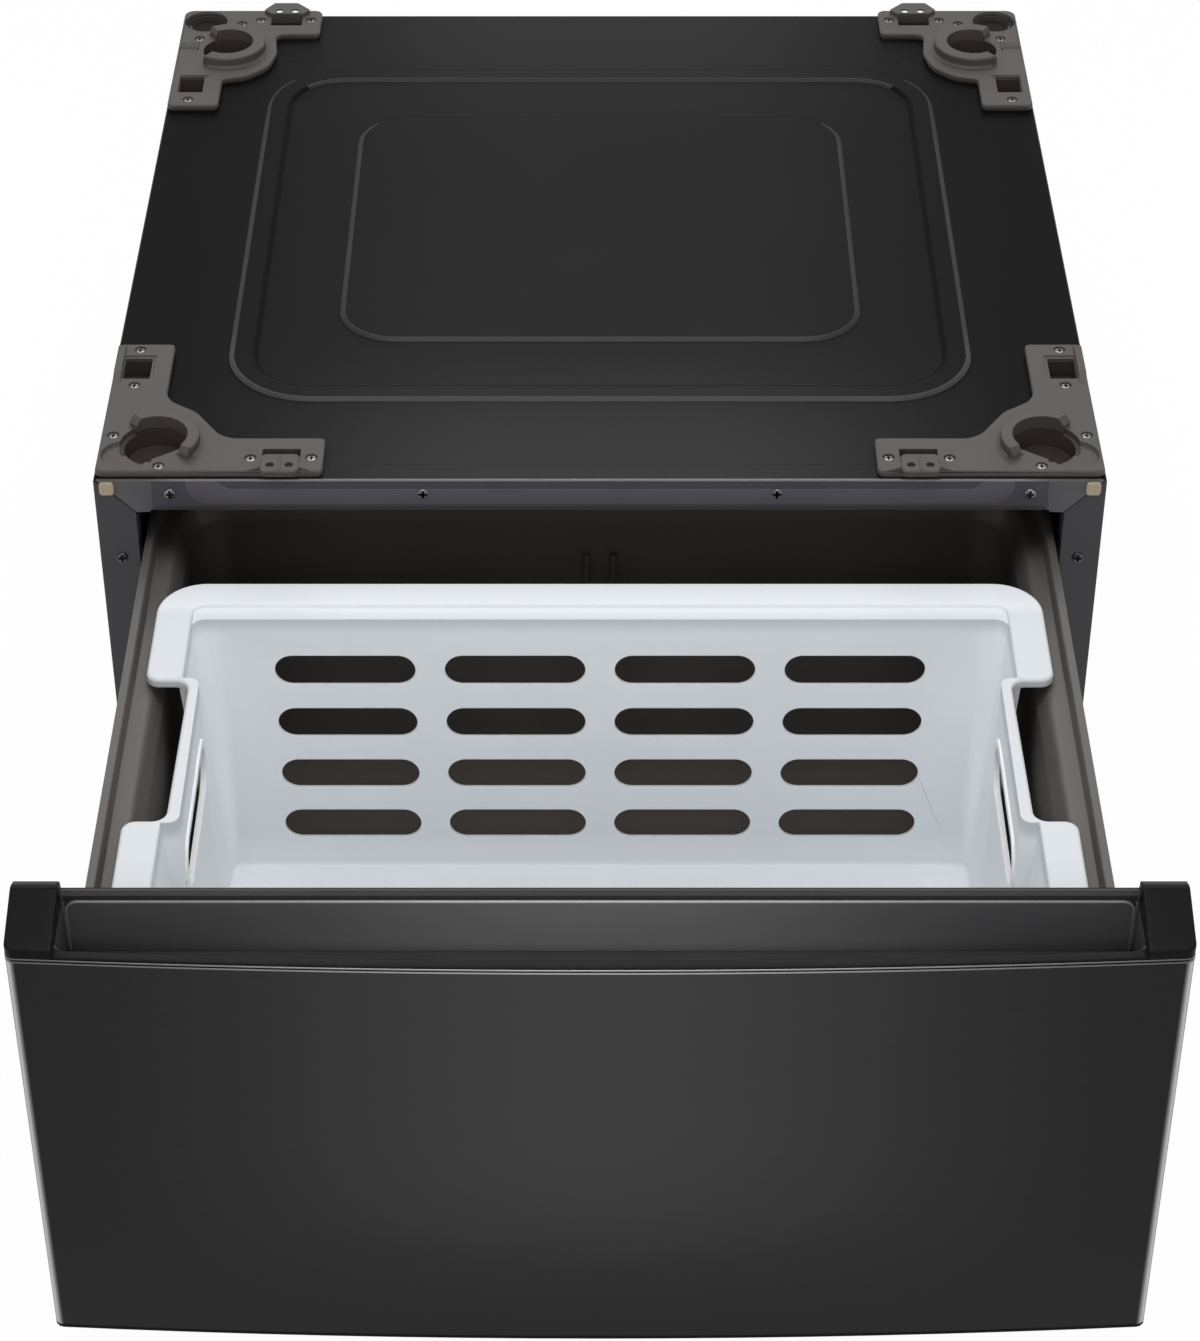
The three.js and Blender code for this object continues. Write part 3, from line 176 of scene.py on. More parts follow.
def brushing_and_sheen():
    """Fine lines left by a belt running along X, with a painted sheen that is paler toward the middle and the
    top of the front.
    """
    group, start, end = pattern_group("brushing_and_sheen", ["Line Scale"], ["Shade", "Height"])
    place = start.outputs["Place"]
    lines = noise(group, stretched(group, place, (0.012, 1.0, 1.0)), start.outputs["Line Scale"], 3.0, 0.7)
    axes = group.nodes.new("ShaderNodeSeparateXYZ")
    group.links.new(place, axes.inputs[0])
    # painted sheen: the shade is raised toward the middle and the top of the front, in place of a lamp's
    # reflection
    across = ramp(group, math_node(group, "ABSOLUTE", axes.outputs["X"]), 0.0, 0.35, 0.7, 0.3)
    upward = ramp(group, axes.outputs["Z"], 0.0, 0.2, 0.3, 1.0)
    gain = math_node(group, "MULTIPLY", upward, math_node(group, "SUBTRACT", across, 0.3))
    sheen = math_node(group, "ADD", 0.3, gain)
    group.links.new(blended(group, 0.14, sheen, lines), end.inputs["Shade"])
    group.links.new(lines, end.inputs["Height"])
    return group


GRAIN, POWDER, BRUSHING_AND_SHEEN = moulded_grain(), powder_coat(), brushing_and_sheen()


def colour_mix(tree, share, first, second):
    """A mix of two colours by a share from a socket. A colour is a grey, three parts or a socket."""
    made = tree.nodes.new("ShaderNodeMix")
    made.data_type = "RGBA"
    tree.links.new(share, made.inputs[0])
    for socket, colour in ((made.inputs[6], first), (made.inputs[7], second)):
        if isinstance(colour, bpy.types.NodeSocket):
            tree.links.new(colour, socket)
        else:
            socket.default_value = (*([colour] * 3 if isinstance(colour, float) else colour), 1)
    return made.outputs[2]


def finish(name, pattern, scale, dark, light, roughness, relief,
           metallic=0.0, specular=0.5, streak=0.0, fades=()):
    """A finish whose shade, roughness range and relief (mm) follow one pattern group.

    A streak draws highlights out across brush lines that run along X. A fade is an axis, the two
    places on it in metres (for X the distances from the middle) between which its colour takes over,
    and that colour."""
    material = bpy.data.materials.new(name)
    material.use_nodes = True
    tree = material.node_tree
    nodes, links = tree.nodes, tree.links
    shader = nodes["Principled BSDF"]
    place = nodes.new("ShaderNodeTexCoord").outputs["Object"]
    shape = nodes.new("ShaderNodeGroup")
    shape.node_tree = pattern
    shape.inputs[1].default_value = scale
    links.new(place, shape.inputs["Place"])
    spread = ramp(tree, shape.outputs["Shade"], 0.3, 0.7, kind="LINEAR")
    colour = colour_mix(tree, spread, dark, light)
    for axis, near, far, other in fades:
        axes = nodes.new("ShaderNodeSeparateXYZ")
        links.new(place, axes.inputs[0])
        distance = axes.outputs[axis]
        if axis == "X":
            distance = math_node(tree, "ABSOLUTE", distance)
        colour = colour_mix(tree, ramp(tree, distance, near, far), colour, other)
    links.new(colour, shader.inputs["Base Color"])
    gloss = ramp(tree, shape.outputs["Shade"], 0.3, 0.7, *roughness, kind="LINEAR")
    links.new(gloss, shader.inputs["Roughness"])
    bump = nodes.new("ShaderNodeBump")
    bump.inputs["Strength"].default_value = 1.0
    bump.inputs["Distance"].default_value = relief * MM
    links.new(shape.outputs["Height"], bump.inputs["Height"])
    links.new(bump.outputs["Normal"], shader.inputs["Normal"])
    shader.inputs["Metallic"].default_value = metallic
    shader.inputs["Specular IOR Level"].default_value = specular
    if streak:
        shader.inputs["Anisotropic"].default_value = streak
        shader.inputs["Anisotropic Rotation"].default_value = 0.25
        lines = nodes.new("ShaderNodeTangent")
        lines.direction_type = "RADIAL"
        lines.axis = "Z"
        links.new(lines.outputs[0], shader.inputs["Tangent"])
    return material


def sheet_paint(name, dark, light):
    """Black powder paint on the cabinet's outer sheets."""
    return finish(name, POWDER, 1400, dark, light, (0.34, 0.42), 0.006, specular=0.3)


# Painted reflection: the top's paint is paler at the front and the rear and darker toward the sides, in place
# of the lamps' glare on the sheet
top_paint_and_sheen = finish("top_paint_and_sheen", POWDER, 1400, 0.0143, 0.018, (0.36, 0.42), 0.004, specular=0.02,
                   fades=(("Y", 0.10, -0.10, 0.0352), ("Y", 0.33, 0.57, 0.0275), ("X", 0.06, 0.33, 0.0045)))
# Painted highlight and painted shade on the emboss slopes: a paler copy of the top's paint, paler still at
# the front, and a darker copy
bead_highlight = finish("bead_highlight", POWDER, 1400, 0.020, 0.024, (0.36, 0.42), 0.004, specular=0.1,
                    fades=(("Y", 0.10, 0.04, 0.045),))
bead_shade = finish("bead_shade", POWDER, 1400, 0.005, 0.006, (0.5, 0.6), 0.004, specular=0.02)
frame_paint = sheet_paint("frame_paint", (0.038, 0.036, 0.040), (0.048, 0.046, 0.051))
# Painted light: a paler copy of the sheet's black paint for the front flange, in place of the light it
# catches
flange_lit_paint = sheet_paint("flange_lit_paint", (0.050, 0.047, 0.056), (0.060, 0.056, 0.067))
# Painted light: a paler copy of the flange's paint on its relief band, in place of the different light on the
# real flange's level and tilted bands
band_lit_paint = sheet_paint("band_lit_paint", (0.076, 0.071, 0.086), (0.092, 0.086, 0.103))
gusset_paint = sheet_paint("gusset_paint", (0.074, 0.073, 0.077), (0.088, 0.087, 0.092))
# Painted highlight along the front bend of the top sheet, darker toward its ends
bend_sheen = finish("bend_sheen", POWDER, 1400, (0.17, 0.175, 0.19), (0.20, 0.205, 0.22),
                    (0.3, 0.36), 0.004, specular=0.5, fades=(("X", 0.28, 0.31, (0.08, 0.08, 0.085)),))
rail_paint = finish("rail_paint", POWDER, 1100, (0.032, 0.030, 0.033), (0.042, 0.040, 0.043),
                    (0.45, 0.55), 0.008, specular=0.3)
zinc = finish("zinc", POWDER, 500, (0.42, 0.43, 0.44), (0.56, 0.57, 0.58), (0.28, 0.4), 0.004, metallic=1.0)
bracket_grey = finish("bracket_grey", GRAIN, 1600, (0.059, 0.0525, 0.047), (0.075, 0.067, 0.061),
                      (0.45, 0.55), 0.012, specular=0.25)
# Painted shade: the bracket plastic made dark inside the wells and latch slots and on the drawn-in sole,
# darkest at the floors
well_shade = finish("well_shade", GRAIN, 900, (0.030, 0.0235, 0.020), (0.040, 0.032, 0.027),
                    (0.6, 0.7), 0.012, specular=0.15, fades=(("Z", 0.3285, 0.330, (0.052, 0.041, 0.035)),))
bumper_beige = finish("bumper_beige", GRAIN, 900, (0.34, 0.285, 0.205), (0.39, 0.335, 0.25),
                      (0.6, 0.7), 0.01)
cap_black = finish("cap_black", GRAIN, 1500, 0.005, 0.007, (0.24, 0.3), 0.003, specular=0.05)
# Painted light: besides the brushing's painted sheen, the face is darkened toward its bottom and painted pale
# on its rounded side edges as a highlight
brushed_face_and_sheen = finish("brushed_face_and_sheen", BRUSHING_AND_SHEEN, 1500, 0.012, 0.047, (0.4, 0.5), 0.004, metallic=0.9,
                      streak=0.8, fades=(("Z", 0.13, 0.0, 0.017), ("X", 0.3368, 0.3414, 0.44)))
# Painted light: besides the brushing's painted sheen, the insert is painted paler low down, against the shade
# deep in the pocket, and darker toward its ends
brushed_insert_and_sheen = finish("brushed_insert_and_sheen", BRUSHING_AND_SHEEN, 1500, (0.09, 0.09, 0.095), (0.21, 0.21, 0.215),
                        (0.4, 0.5), 0.004, metallic=0.35, streak=0.8,
                        fades=(("Z", 0.322, 0.290, (0.23, 0.23, 0.235)),
                               ("X", 0.03, 0.30, (0.10, 0.10, 0.105))))
# Painted reflection: a grey paler than the cap's black on the pocket's floor and walls
pocket_reflection = finish("pocket_reflection", GRAIN, 1500, (0.055, 0.055, 0.057), (0.072, 0.072, 0.075),
                      (0.4, 0.5), 0.004, specular=0.2)
# Painted light: a grey between the cap's black and the pocket's, for the rim's top in place of its reflection
# and for the pocket's rear wall in place of its shade
rim_reflection_and_shade = finish("rim_reflection_and_shade", GRAIN, 1500, (0.030, 0.030, 0.031), (0.038, 0.038, 0.040),
                   (0.4, 0.5), 0.004, specular=0.2)
# Painted highlight: pale grey for the strips along the pocket's rear rim and its ends
strip_highlight = finish("strip_highlight", GRAIN, 1500, (0.095, 0.095, 0.098), (0.115, 0.115, 0.118),
                     (0.4, 0.5), 0.004, specular=0.2)
# Painted highlight: polished metal, paler toward the middle, on the thin lines along the lip's rounding and
# the skin's top edge
ridge_highlight = finish("ridge_highlight", BRUSHING_AND_SHEEN, 1500, 0.10, 0.34, (0.3, 0.4), 0.002, metallic=1.0)
# Painted shade: the tub's grey goes dark toward the rear, in the shadow under the cabinet's top, and back to
# its own grey low down, where light reaches through the basket
tub_grey_and_shade = finish("tub_grey_and_shade", GRAIN, 1300, (0.098, 0.090, 0.082), (0.122, 0.112, 0.103),
                  (0.42, 0.5), 0.008, specular=0.25,
                  fades=(("Y", -0.15, -0.07, (0.031, 0.028, 0.023)),
                         ("Z", 0.21, 0.16, (0.12, 0.106, 0.095))))
# Painted light and shade: the white is darker down the walls, paler at the floor and on the side walls, and
# darker on the rim's top and at the rear end
basket_white_and_shade = finish("basket_white_and_shade", GRAIN, 1500, (0.86, 0.89, 0.915), (0.90, 0.93, 0.955),
                      (0.4, 0.5), 0.006, specular=0.3,
                      fades=(("Z", 0.235, 0.13, (0.78, 0.81, 0.84)),
                             ("Z", 0.10, 0.076, (0.85, 0.88, 0.91)),
                             ("X", 0.250, 0.2585, (0.92, 0.94, 0.96)),
                             ("Z", 0.268, 0.281, (0.68, 0.71, 0.74)),
                             ("Y", -0.183, -0.172, (0.78, 0.81, 0.845))))
foot_black = finish("foot_black", GRAIN, 1200, 0.012, 0.018, (0.55, 0.65), 0.012)
# Painted shade: near black for the screws' cross recesses and the rear bracket's round recess
recess_shade = finish("recess_shade", GRAIN, 900, 0.006, 0.010, (0.6, 0.7), 0.004, specular=0.1)
# Painted highlight on the thin frame round the insert, darker toward its ends
frame_shine = finish("frame_shine", BRUSHING_AND_SHEEN, 1500, (0.30, 0.30, 0.305), (0.55, 0.55, 0.56),
                     (0.3, 0.4), 0.002, metallic=0.35, fades=(("X", 0.06, 0.29, (0.29, 0.29, 0.295)),))
dark_steel = finish("dark_steel", POWDER, 600, (0.07, 0.07, 0.075), (0.13, 0.13, 0.14),
                    (0.3, 0.4), 0.004, metallic=0.95)
screw_steel = finish("screw_steel", POWDER, 600, (0.16, 0.16, 0.165), (0.30, 0.30, 0.31),
                     (0.3, 0.4), 0.004, metallic=1.0)


# ---------------------------------------------------------------- shaping

def outline_face(bm, corners, z=0.0, segments=8):
    """A flat face through (x, y) or (x, y, radius) corners, rounded where a radius is given."""
    points = [bm.verts.new((corner[0], corner[1], z)) for corner in corners]
    bm.faces.new(points)
    for i, corner in enumerate(corners):
        if len(corner) < 3 or corner[2] <= 0:
            continue
        here = Vector(corner[:2])
        before = Vector(corners[i - 1][:2]) - here
        after = Vector(corners[(i + 1) % len(corners)][:2]) - here
        reach = corner[2] / math.tan(before.angle(after) / 2)
        bmesh.ops.bevel(bm, geom=[points[i]], offset=reach, offset_type="OFFSET", affect="VERTICES",
                        segments=segments, profile=0.5, material=-1)


def prism(corners, low, high, soft=0.0, segments=8):
    """A plate or block between two heights, its upper rim softened by a radius."""
    bm = bmesh.new()
    outline_face(bm, corners, low, segments)
    raised = bmesh.ops.extrude_face_region(bm, geom=bm.faces[:])["geom"]
    upper = [v for v in raised if isinstance(v, bmesh.types.BMVert)]
    bmesh.ops.translate(bm, vec=(0, 0, high - low), verts=upper)
    bmesh.ops.recalc_face_normals(bm, faces=bm.faces[:])
    if soft:
        rim = [e for e in bm.edges if all(abs(v.co.z - high) < 1e-4 for v in e.verts)]
        bmesh.ops.bevel(bm, geom=rim, offset=soft, offset_type="OFFSET", affect="EDGES",
                        segments=4, profile=0.5, material=-1)
    return bm


def block(x0, x1, y0, y1, z0, z1, corner=0.0, soft=0.0):
    """A box with rounded upright corners."""
    corners = [(x0, y0, corner), (x1, y0, corner), (x1, y1, corner), (x0, y1, corner)]
    return prism(corners, z0, z1, soft, 5)


def cylinder(x, y, radius, low, high, top_radius=None, sides=72):
    """An upright cylinder or cone."""
    bm = bmesh.new()
    bmesh.ops.create_cone(bm, cap_ends=True, segments=sides, radius1=radius,
                          radius2=radius if top_radius is None else top_radius, depth=high - low,
                          matrix=Matrix.Translation((x, y, (low + high) / 2)))
    return bm


# Where the axes of a shape drawn in x and y go, when it runs along another axis.
ALONG_Y = Matrix(((1, 0, 0), (0, 0, -1), (0, 1, 0)))  # drawn in x and z
ALONG_X = Matrix(((0, 0, 1), (1, 0, 0), (0, 1, 0)))  # drawn in y and z


def turned(bm, axes):
    """A shape turned about the origin so that it runs along another axis."""
    bmesh.ops.transform(bm, matrix=axes.to_4x4(), verts=bm.verts[:])
    return bm


def spun(bm, degrees):
    """A shape turned about the upright axis through the origin."""
    bmesh.ops.rotate(bm, cent=(0, 0, 0), matrix=Matrix.Rotation(math.radians(degrees), 3, "Z"),
                     verts=bm.verts[:])
    return bm


def stadium(u, v, length, height, low, high, segments=10):
    """A bar with round ends."""
    r = height / 2 - 0.05
    du, dv = length / 2, height / 2
    corners = [(u - du, v - dv, r), (u + du, v - dv, r), (u + du, v + dv, r), (u - du, v + dv, r)]
    return prism(corners, low, high, 0, segments)


def swept(x, y, profile, start, sweep, steps):
    """A (radius, z, corner) outline swept about an upright axis through part of a turn, in degrees."""
    bm = bmesh.new()
    outline_face(bm, profile, 0, 4)
    bmesh.ops.delete(bm, geom=bm.faces[:], context="FACES_ONLY")
    spun(turned(bm, ALONG_Y), start)
    full = sweep >= 360
    bmesh.ops.spin(bm, geom=bm.verts[:] + bm.edges[:], cent=(0, 0, 0), axis=(0, 0, 1),
                   angle=math.radians(sweep), steps=steps, use_merge=full)
    if not full:
        bmesh.ops.holes_fill(bm, edges=bm.edges[:], sides=0)
    bmesh.ops.translate(bm, vec=(x, y, 0), verts=bm.verts[:])
    bmesh.ops.recalc_face_normals(bm, faces=bm.faces[:])
    return bm


def lathed(profile, steps=48):
    """A (radius, z) line that starts and ends on the upright axis, turned all the way round it."""
    bm = bmesh.new()
    points = [bm.verts.new((r, 0, z)) for r, z in profile]
    for first, second in zip(points, points[1:]):
        bm.edges.new((first, second))
    bmesh.ops.spin(bm, geom=bm.verts[:] + bm.edges[:], cent=(0, 0, 0), axis=(0, 0, 1),
                   angle=2 * math.pi, steps=steps, use_merge=True)
    bmesh.ops.remove_doubles(bm, verts=bm.verts[:], dist=1e-4)
    bmesh.ops.recalc_face_normals(bm, faces=bm.faces[:])
    return bm


def ring_edges(bm, x0, x1, y0, y1, z, radius, segments=10):
    """The edges of a rectangle with rounded corners, at a height."""
    others = set(bm.faces)
    outline_face(bm, [(x0, y0, radius), (x1, y0, radius), (x1, y1, radius), (x0, y1, radius)], z, segments)
    face = next(f for f in bm.faces if f not in others)
    edges = face.edges[:]
    bmesh.ops.delete(bm, geom=[face], context="FACES_ONLY")
    return edges


def lofted(rings, segments=10):
    """A skin over (half width, y0, y1, z, radius) rings, with its first and last ring filled.

    A level step gets a hair of slope, because two rings in one plane aren't bridged in order."""
    bm = bmesh.new()
    loops = []
    for i, (half, y0, y1, z, radius) in enumerate(rings):
        if i and z == rings[i - 1][3]:
            onward = next((ring[3] for ring in rings[i:] if ring[3] != z), z)
            z += 0.01 if onward > z else -0.01
        loops.append(ring_edges(bm, -half, half, y0, y1, z, radius, segments))
    for lower, upper in zip(loops, loops[1:]):
        bmesh.ops.bridge_loops(bm, edges=lower + upper)
    for end in (loops[0], loops[-1]):
        bmesh.ops.edgeloop_fill(bm, edges=end)
    bmesh.ops.recalc_face_normals(bm, faces=bm.faces[:])
    return bm


def flipped(bm):
    """The same shape on the other side of the middle plane."""
    copy = bm.copy()
    bmesh.ops.scale(copy, vec=(-1, 1, 1), verts=copy.verts[:])
    bmesh.ops.reverse_faces(copy, faces=copy.faces[:])
    return copy


def moved(bm, x, y, z):
    """A copy of a shape at another place."""
    copy = bm.copy()
    bmesh.ops.translate(copy, vec=(x, y, z), verts=copy.verts[:])
    return copy


def together(*shapes):
    """Several shapes in one mesh, each left as it is."""
    whole = bmesh.new()
    for shape in shapes:
        mesh = bpy.data.meshes.new("shape")
        shape.to_mesh(mesh)
        whole.from_mesh(mesh)
        bpy.data.meshes.remove(mesh)
    return whole


def worked(operation, body, *tools):
    """A body with tools cut out of it or joined to it."""
    made = []
    for shape in (body, *tools):
        mesh = bpy.data.meshes.new("work")
        shape.to_mesh(mesh)
        made.append(bpy.data.objects.new("work", mesh))
        bpy.context.scene.collection.objects.link(made[-1])
    for tool in made[1:]:
        step = made[0].modifiers.new("step", "BOOLEAN")
        step.operation = operation
        step.solver = "EXACT"
        step.object = tool
    result = bmesh.new()
    result.from_object(made[0], bpy.context.evaluated_depsgraph_get())
    for work in made:
        mesh = work.data
        bpy.data.objects.remove(work)
        bpy.data.meshes.remove(mesh)
    bmesh.ops.remove_doubles(result, verts=result.verts[:], dist=0.003)
    return result


def cut(body, *tools):
    return worked("DIFFERENCE", body, *tools)


def join(body, *tools):
    return worked("UNION", body, *tools)


def piece(name, bm, looks, body, stands_for=(), soft=0.0, steps=3, sharp=35, split=True):
    """Finishes a shape: its place, its finish, soft edges of a width in mm, and the body it rides on."""
    if split:
        bmesh.ops.triangulate(bm, faces=[face for face in bm.faces if len(face.verts) > 4])
    bmesh.ops.dissolve_degenerate(bm, edges=bm.edges[:], dist=0.004)
    bmesh.ops.translate(bm, vec=(0, -ORIGIN_Y, 0), verts=bm.verts[:])
    bmesh.ops.scale(bm, vec=(MM, MM, MM), verts=bm.verts[:])
    for face in bm.faces:
        face.smooth = True
    mesh = bpy.data.meshes.new(name)
    bm.to_mesh(mesh)
    bm.free()
    made = bpy.data.objects.new(name, mesh)
    bpy.context.scene.collection.objects.link(made)
    for look in looks if isinstance(looks, list) else [looks]:
        mesh.materials.append(look)
    if soft:
        bevel = made.modifiers.new("soft_edges", "BEVEL")
        bevel.width = soft * MM
        bevel.segments = steps
        bevel.limit_method = "ANGLE"
        bevel.angle_limit = math.radians(sharp)
        bevel.use_clamp_overlap = False
        made.modifiers.new("even_shading", "WEIGHTED_NORMAL").keep_sharp = False
    else:
        mesh.set_sharp_from_angle(angle=math.radians(sharp))
    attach(made, body)
    if stands_for:
        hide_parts(*stands_for)
    return made


def solid_shape(node):
    """A merged copy of a solid, back in the layout's millimetres."""
    bm = bmesh.new()
    bm.from_mesh(NODES[node].data)
    bmesh.ops.scale(bm, vec=(1 / MM,) * 3, verts=bm.verts[:])
    bmesh.ops.translate(bm, vec=(0, ORIGIN_Y, 0), verts=bm.verts[:])
    bmesh.ops.remove_doubles(bm, verts=bm.verts[:], dist=0.003)
    return bm


def eased(node, look, body, soft, steps=3, sharp=35):
    """A solid with its edges softened, in its own place."""
    return piece(node + "_finished", solid_shape(node), look, body, [node], soft, steps, sharp)


# ---------------------------------------------------------------- screws

def cross_slot(radius, top, depth):
    """The cross recess of a screw head, as two tapered bars."""
    arm, wide = radius * 0.74, radius * 0.23
    low, high = top - depth, top + 1
    return join(block(-arm, arm, -wide, wide, low, high), block(-wide, wide, -arm, arm, low, high))


def darkened(head, radius, low, high):
    """A screw head whose recess takes its second finish, a painted shade."""
    for face in head.faces:
        middle = face.calc_center_median()
        if math.hypot(middle.x, middle.y) < radius * 0.8 and low < middle.z < high:
            face.material_index = 1
    return head


def flat_screw(radius=3.0):
    """A countersunk screw's head, its face a little domed, from z = 0 up."""
    head = lathed([(0, -1.2), (radius * 0.55, -1.2), (radius * 0.97, -0.1), (radius, 0.05),
                   (radius * 0.94, 0.25), (radius * 0.6, 0.4), (0, 0.45)], 40)
    return darkened(cut(head, cross_slot(radius, 0.5, 1.0)), radius, -0.9, 0.2)


def pan_screw(radius=4.0, length=7.0):
    """A pan head screw with its head on z = 0 and its shank below."""
    head = lathed([(0, -length), (1.2, -length), (1.9, -length + 1), (1.9, 0), (radius, 0), (radius, 0.5),
                   (radius * 0.93, 1.05), (radius * 0.7, 1.45), (radius * 0.3, 1.6), (0, 1.6)], 40)
    return darkened(cut(head, cross_slot(radius, 1.6, 1.3)), radius, 0.2, 1.1)


flat_head = flat_screw()
pan_head = pan_screw()
forward_head = turned(pan_head.copy(), ALONG_Y)  # its head faces the front
backward_head = spun(forward_head.copy(), 180)


def screw_set(name, head, places, steel, body, nodes):
    """Screws at several places, as one piece in place of their solids."""
    heads = together(*[moved(head, *place) for place in places])
    piece(name, heads, [steel, recess_shade], body, nodes, sharp=30)


def build_frame_screws():
    screw_set("flange_screws", forward_head, [(x, 0, 326.5) for x in FLANGE_SCREWS], screw_steel,
              "cabinet", [f"flange_screw_{i + 1}" for i in range(4)])
    screw_set("column_screws", forward_head, [(-328.2, 0, 273), (328.2, 0, 273)], dark_steel,
              "cabinet", ["column_screw_left", "column_screw_right"])
    rear = FRONT_REAR + 2.5
    screw_set("front_screws", backward_head, [(x, rear, z) for z in (110, 225) for x in (-180, 180)], zinc,
              "drawer", [f"front_screw_{i + 1}" for i in range(4)])


# ---------------------------------------------------------------- top sheet

# The slope of an emboss: runs in mm and shares of its rise.
EMBOSS_SLOPE = ((-0.8, 0), (0.4, 0.08), (1.2, 0.28), (2.0, 0.5), (2.8, 0.72), (3.6, 0.92), (4.8, 1))


def build_top_sheet():
    edge = SIDE - 1

    def ring(side, front, z, radius):
        return (SIDE - side, front, DEPTH - front, z, radius)

    high = SHEET_TOP + 2.6
    rings = [ring(76, 90.5, SHEET_TOP - SHEET / 2, 64.5)]
    # each emboss is a soft S from the sheet to its crest
    for side, front, radius, way in ((78.5, 93, 62, 1), (101, 115.5, 39.5, -1), (154, 170, 42, 1)):
        low, crest = (SHEET_TOP, high) if way > 0 else (high, SHEET_TOP)
        shift = 0 if way > 0 else -4
        for run, rise in EMBOSS_SLOPE:
            z = low + (crest - low) * rise
            rings.append(ring(side + run + shift, front + run + shift, z, radius - run - shift))
    top = join(block(-edge, edge, 0, DEPTH, SHEET_TOP - SHEET, SHEET_TOP), lofted(rings, 14))

    step_out, step_in = SIDE - 36.5, SIDE - 42
    low, deep, shoulder = SHEET_TOP - 27.15, SHEET_TOP - 22, SHEET_TOP - 0.85
    half = [(edge, SHEET_TOP - 0.2), (edge, shoulder), (SIDE - 27.3, low), (step_out, low), (step_in, deep)]
    corners = [(-x, z) for x, z in half] + [(x, z) for x, z in reversed(half)]
    flange = turned(prism(corners, -SHEET, 0), ALONG_Y)
    rear = block(-(SIDE - 26), SIDE - 26, DEPTH - SHEET, DEPTH, deep, SHEET_TOP - 0.2)
    sheet = join(top, flange, rear)
    holes = []
    for (a, b, radius), y in ((FRONT_WELL, FRONT_WELL[1]), (REAR_WELL, DEPTH - REAR_WELL[1])):
        holes.append(cylinder(-SIDE + a, y, radius + 2.8, 330, 342))
    for y0, y1 in ((SLOT_B[0], SLOT_B[1]), (DEPTH - REAR_SLOT_B[1], DEPTH - REAR_SLOT_B[0])):
        holes.append(block(-SIDE + SLOT_A[0] - 2, -SIDE + SLOT_A[1] + 2, y0 - 2, y1 + 2, 330, 342))
    holes += [flipped(hole) for hole in holes]
    sheet = cut(sheet, together(*holes))
    for face in sheet.faces:
        middle = face.calc_center_median()
        # painted light: the front flange takes the paler copy of the sheet's paint
        if middle.y < 1.3 and middle.z < SHEET_TOP - 0.4:
            face.material_index = 1
        elif SHEET_TOP + 0.9 < middle.z < high - 0.1:
            # painted light: slopes that face out take the painted highlight, apart from the rear run, where
            # those that face the front do; the others take the painted shade
            outward = face.normal.x * middle.x + face.normal.y * (middle.y - DEPTH / 2) > 0
            at_rear = middle.y > DEPTH / 2 and abs(face.normal.y) > abs(face.normal.x)
            face.material_index = 2 if outward != at_rear else 3
    piece("top_sheet", sheet, [top_paint_and_sheen, flange_lit_paint, bead_highlight, bead_shade], "cabinet",
          ["top_panel"], soft=0.55, sharp=40)
    # the band's paler paint is painted light on the flange's relief
    band = prism([(-281, 336.6, 1), (-279.5, 318.2, 14), (279.5, 318.2, 14), (281, 336.6, 1),
                  (259, 336.6, 1), (252, 330.2, 7), (-252, 330.2, 7), (-259, 336.6, 1)], 0, 0.3, 0.25)
    gusset = prism([(-340.4, 336.8), (-315.1, 311.6), (-306.6, 311.6, 1.5), (-303.6, 314.4, 1.5),
                    (-303.6, 336.8)], 0, 0.35, 0.25)
    piece("flange_band", turned(band, ALONG_Y), band_lit_paint, "cabinet")
    gussets = together(gusset, flipped(gusset))
    piece("flange_corners", turned(gussets, ALONG_Y), gusset_paint, "cabinet")
    # a strip over the front bend that carries the painted highlight
    bend = block(-340.5, 340.5, -0.25, 1.5, 336.7, SHEET_TOP + 0.08, 0.3, 0.6)
    piece("front_bend_highlight", bend, bend_sheen, "cabinet")


# ---------------------------------------------------------------- corner brackets

def upright(points, low, high, to_y, soft=0.0, segments=8):
    """A prism from (a, b, radius) corners on the left side."""
    return prism([(-SIDE + a, to_y(b), *rest) for a, b, *rest in points], low, high, soft, segments)


def well_space(x, y, radius):
    """The room inside a well, a hair wider above the height where its painted shade ends."""
    return join(cylinder(x, y, radius, WELL_FLOOR, WELL_SHADE_TOP + 1, sides=96),
                cylinder(x, y, radius + 0.05, WELL_SHADE_TOP, 356, sides=96))


def latch_space(x0, x1, y0, y1):
    """The room inside a latch slot, a hair wider above the height where its painted shade ends."""
    return join(block(x0, x1, y0, y1, 328, SLOT_SHADE_TOP + 1, 1.2),
                block(x0 - 0.05, x1 + 0.05, y0 - 0.05, y1 + 0.05, SLOT_SHADE_TOP, 350, 1.2))


def softened(bm, radius, chosen, segments=4):
    """Rounds the sharp outer edges that a test picks."""
    edges = [e for e in bm.edges
             if len(e.link_faces) == 2 and e.is_convex and e.calc_face_angle(0) > 0.5 and chosen(e)]
    bmesh.ops.bevel(bm, geom=edges, offset=radius, offset_type="OFFSET", affect="EDGES", segments=segments,
                    profile=0.5, material=-1, clamp_overlap=False)
    return bm


def end_slope(x, y, turn, way, run):
    """What slopes off a collar's end, at a turn in degrees about its axis."""
    outline = [(way * -run, COLLAR_TOP + 1), (way * 0.6, 346.4), (way * 3, 346.4), (way * 3, 360),
               (way * -run, 360)]
    bm = spun(turned(prism(outline if way > 0 else outline[::-1], 17, 36), ALONG_X), turn)
    bmesh.ops.translate(bm, vec=(x, y, 0), verts=bm.verts[:])
    return bm


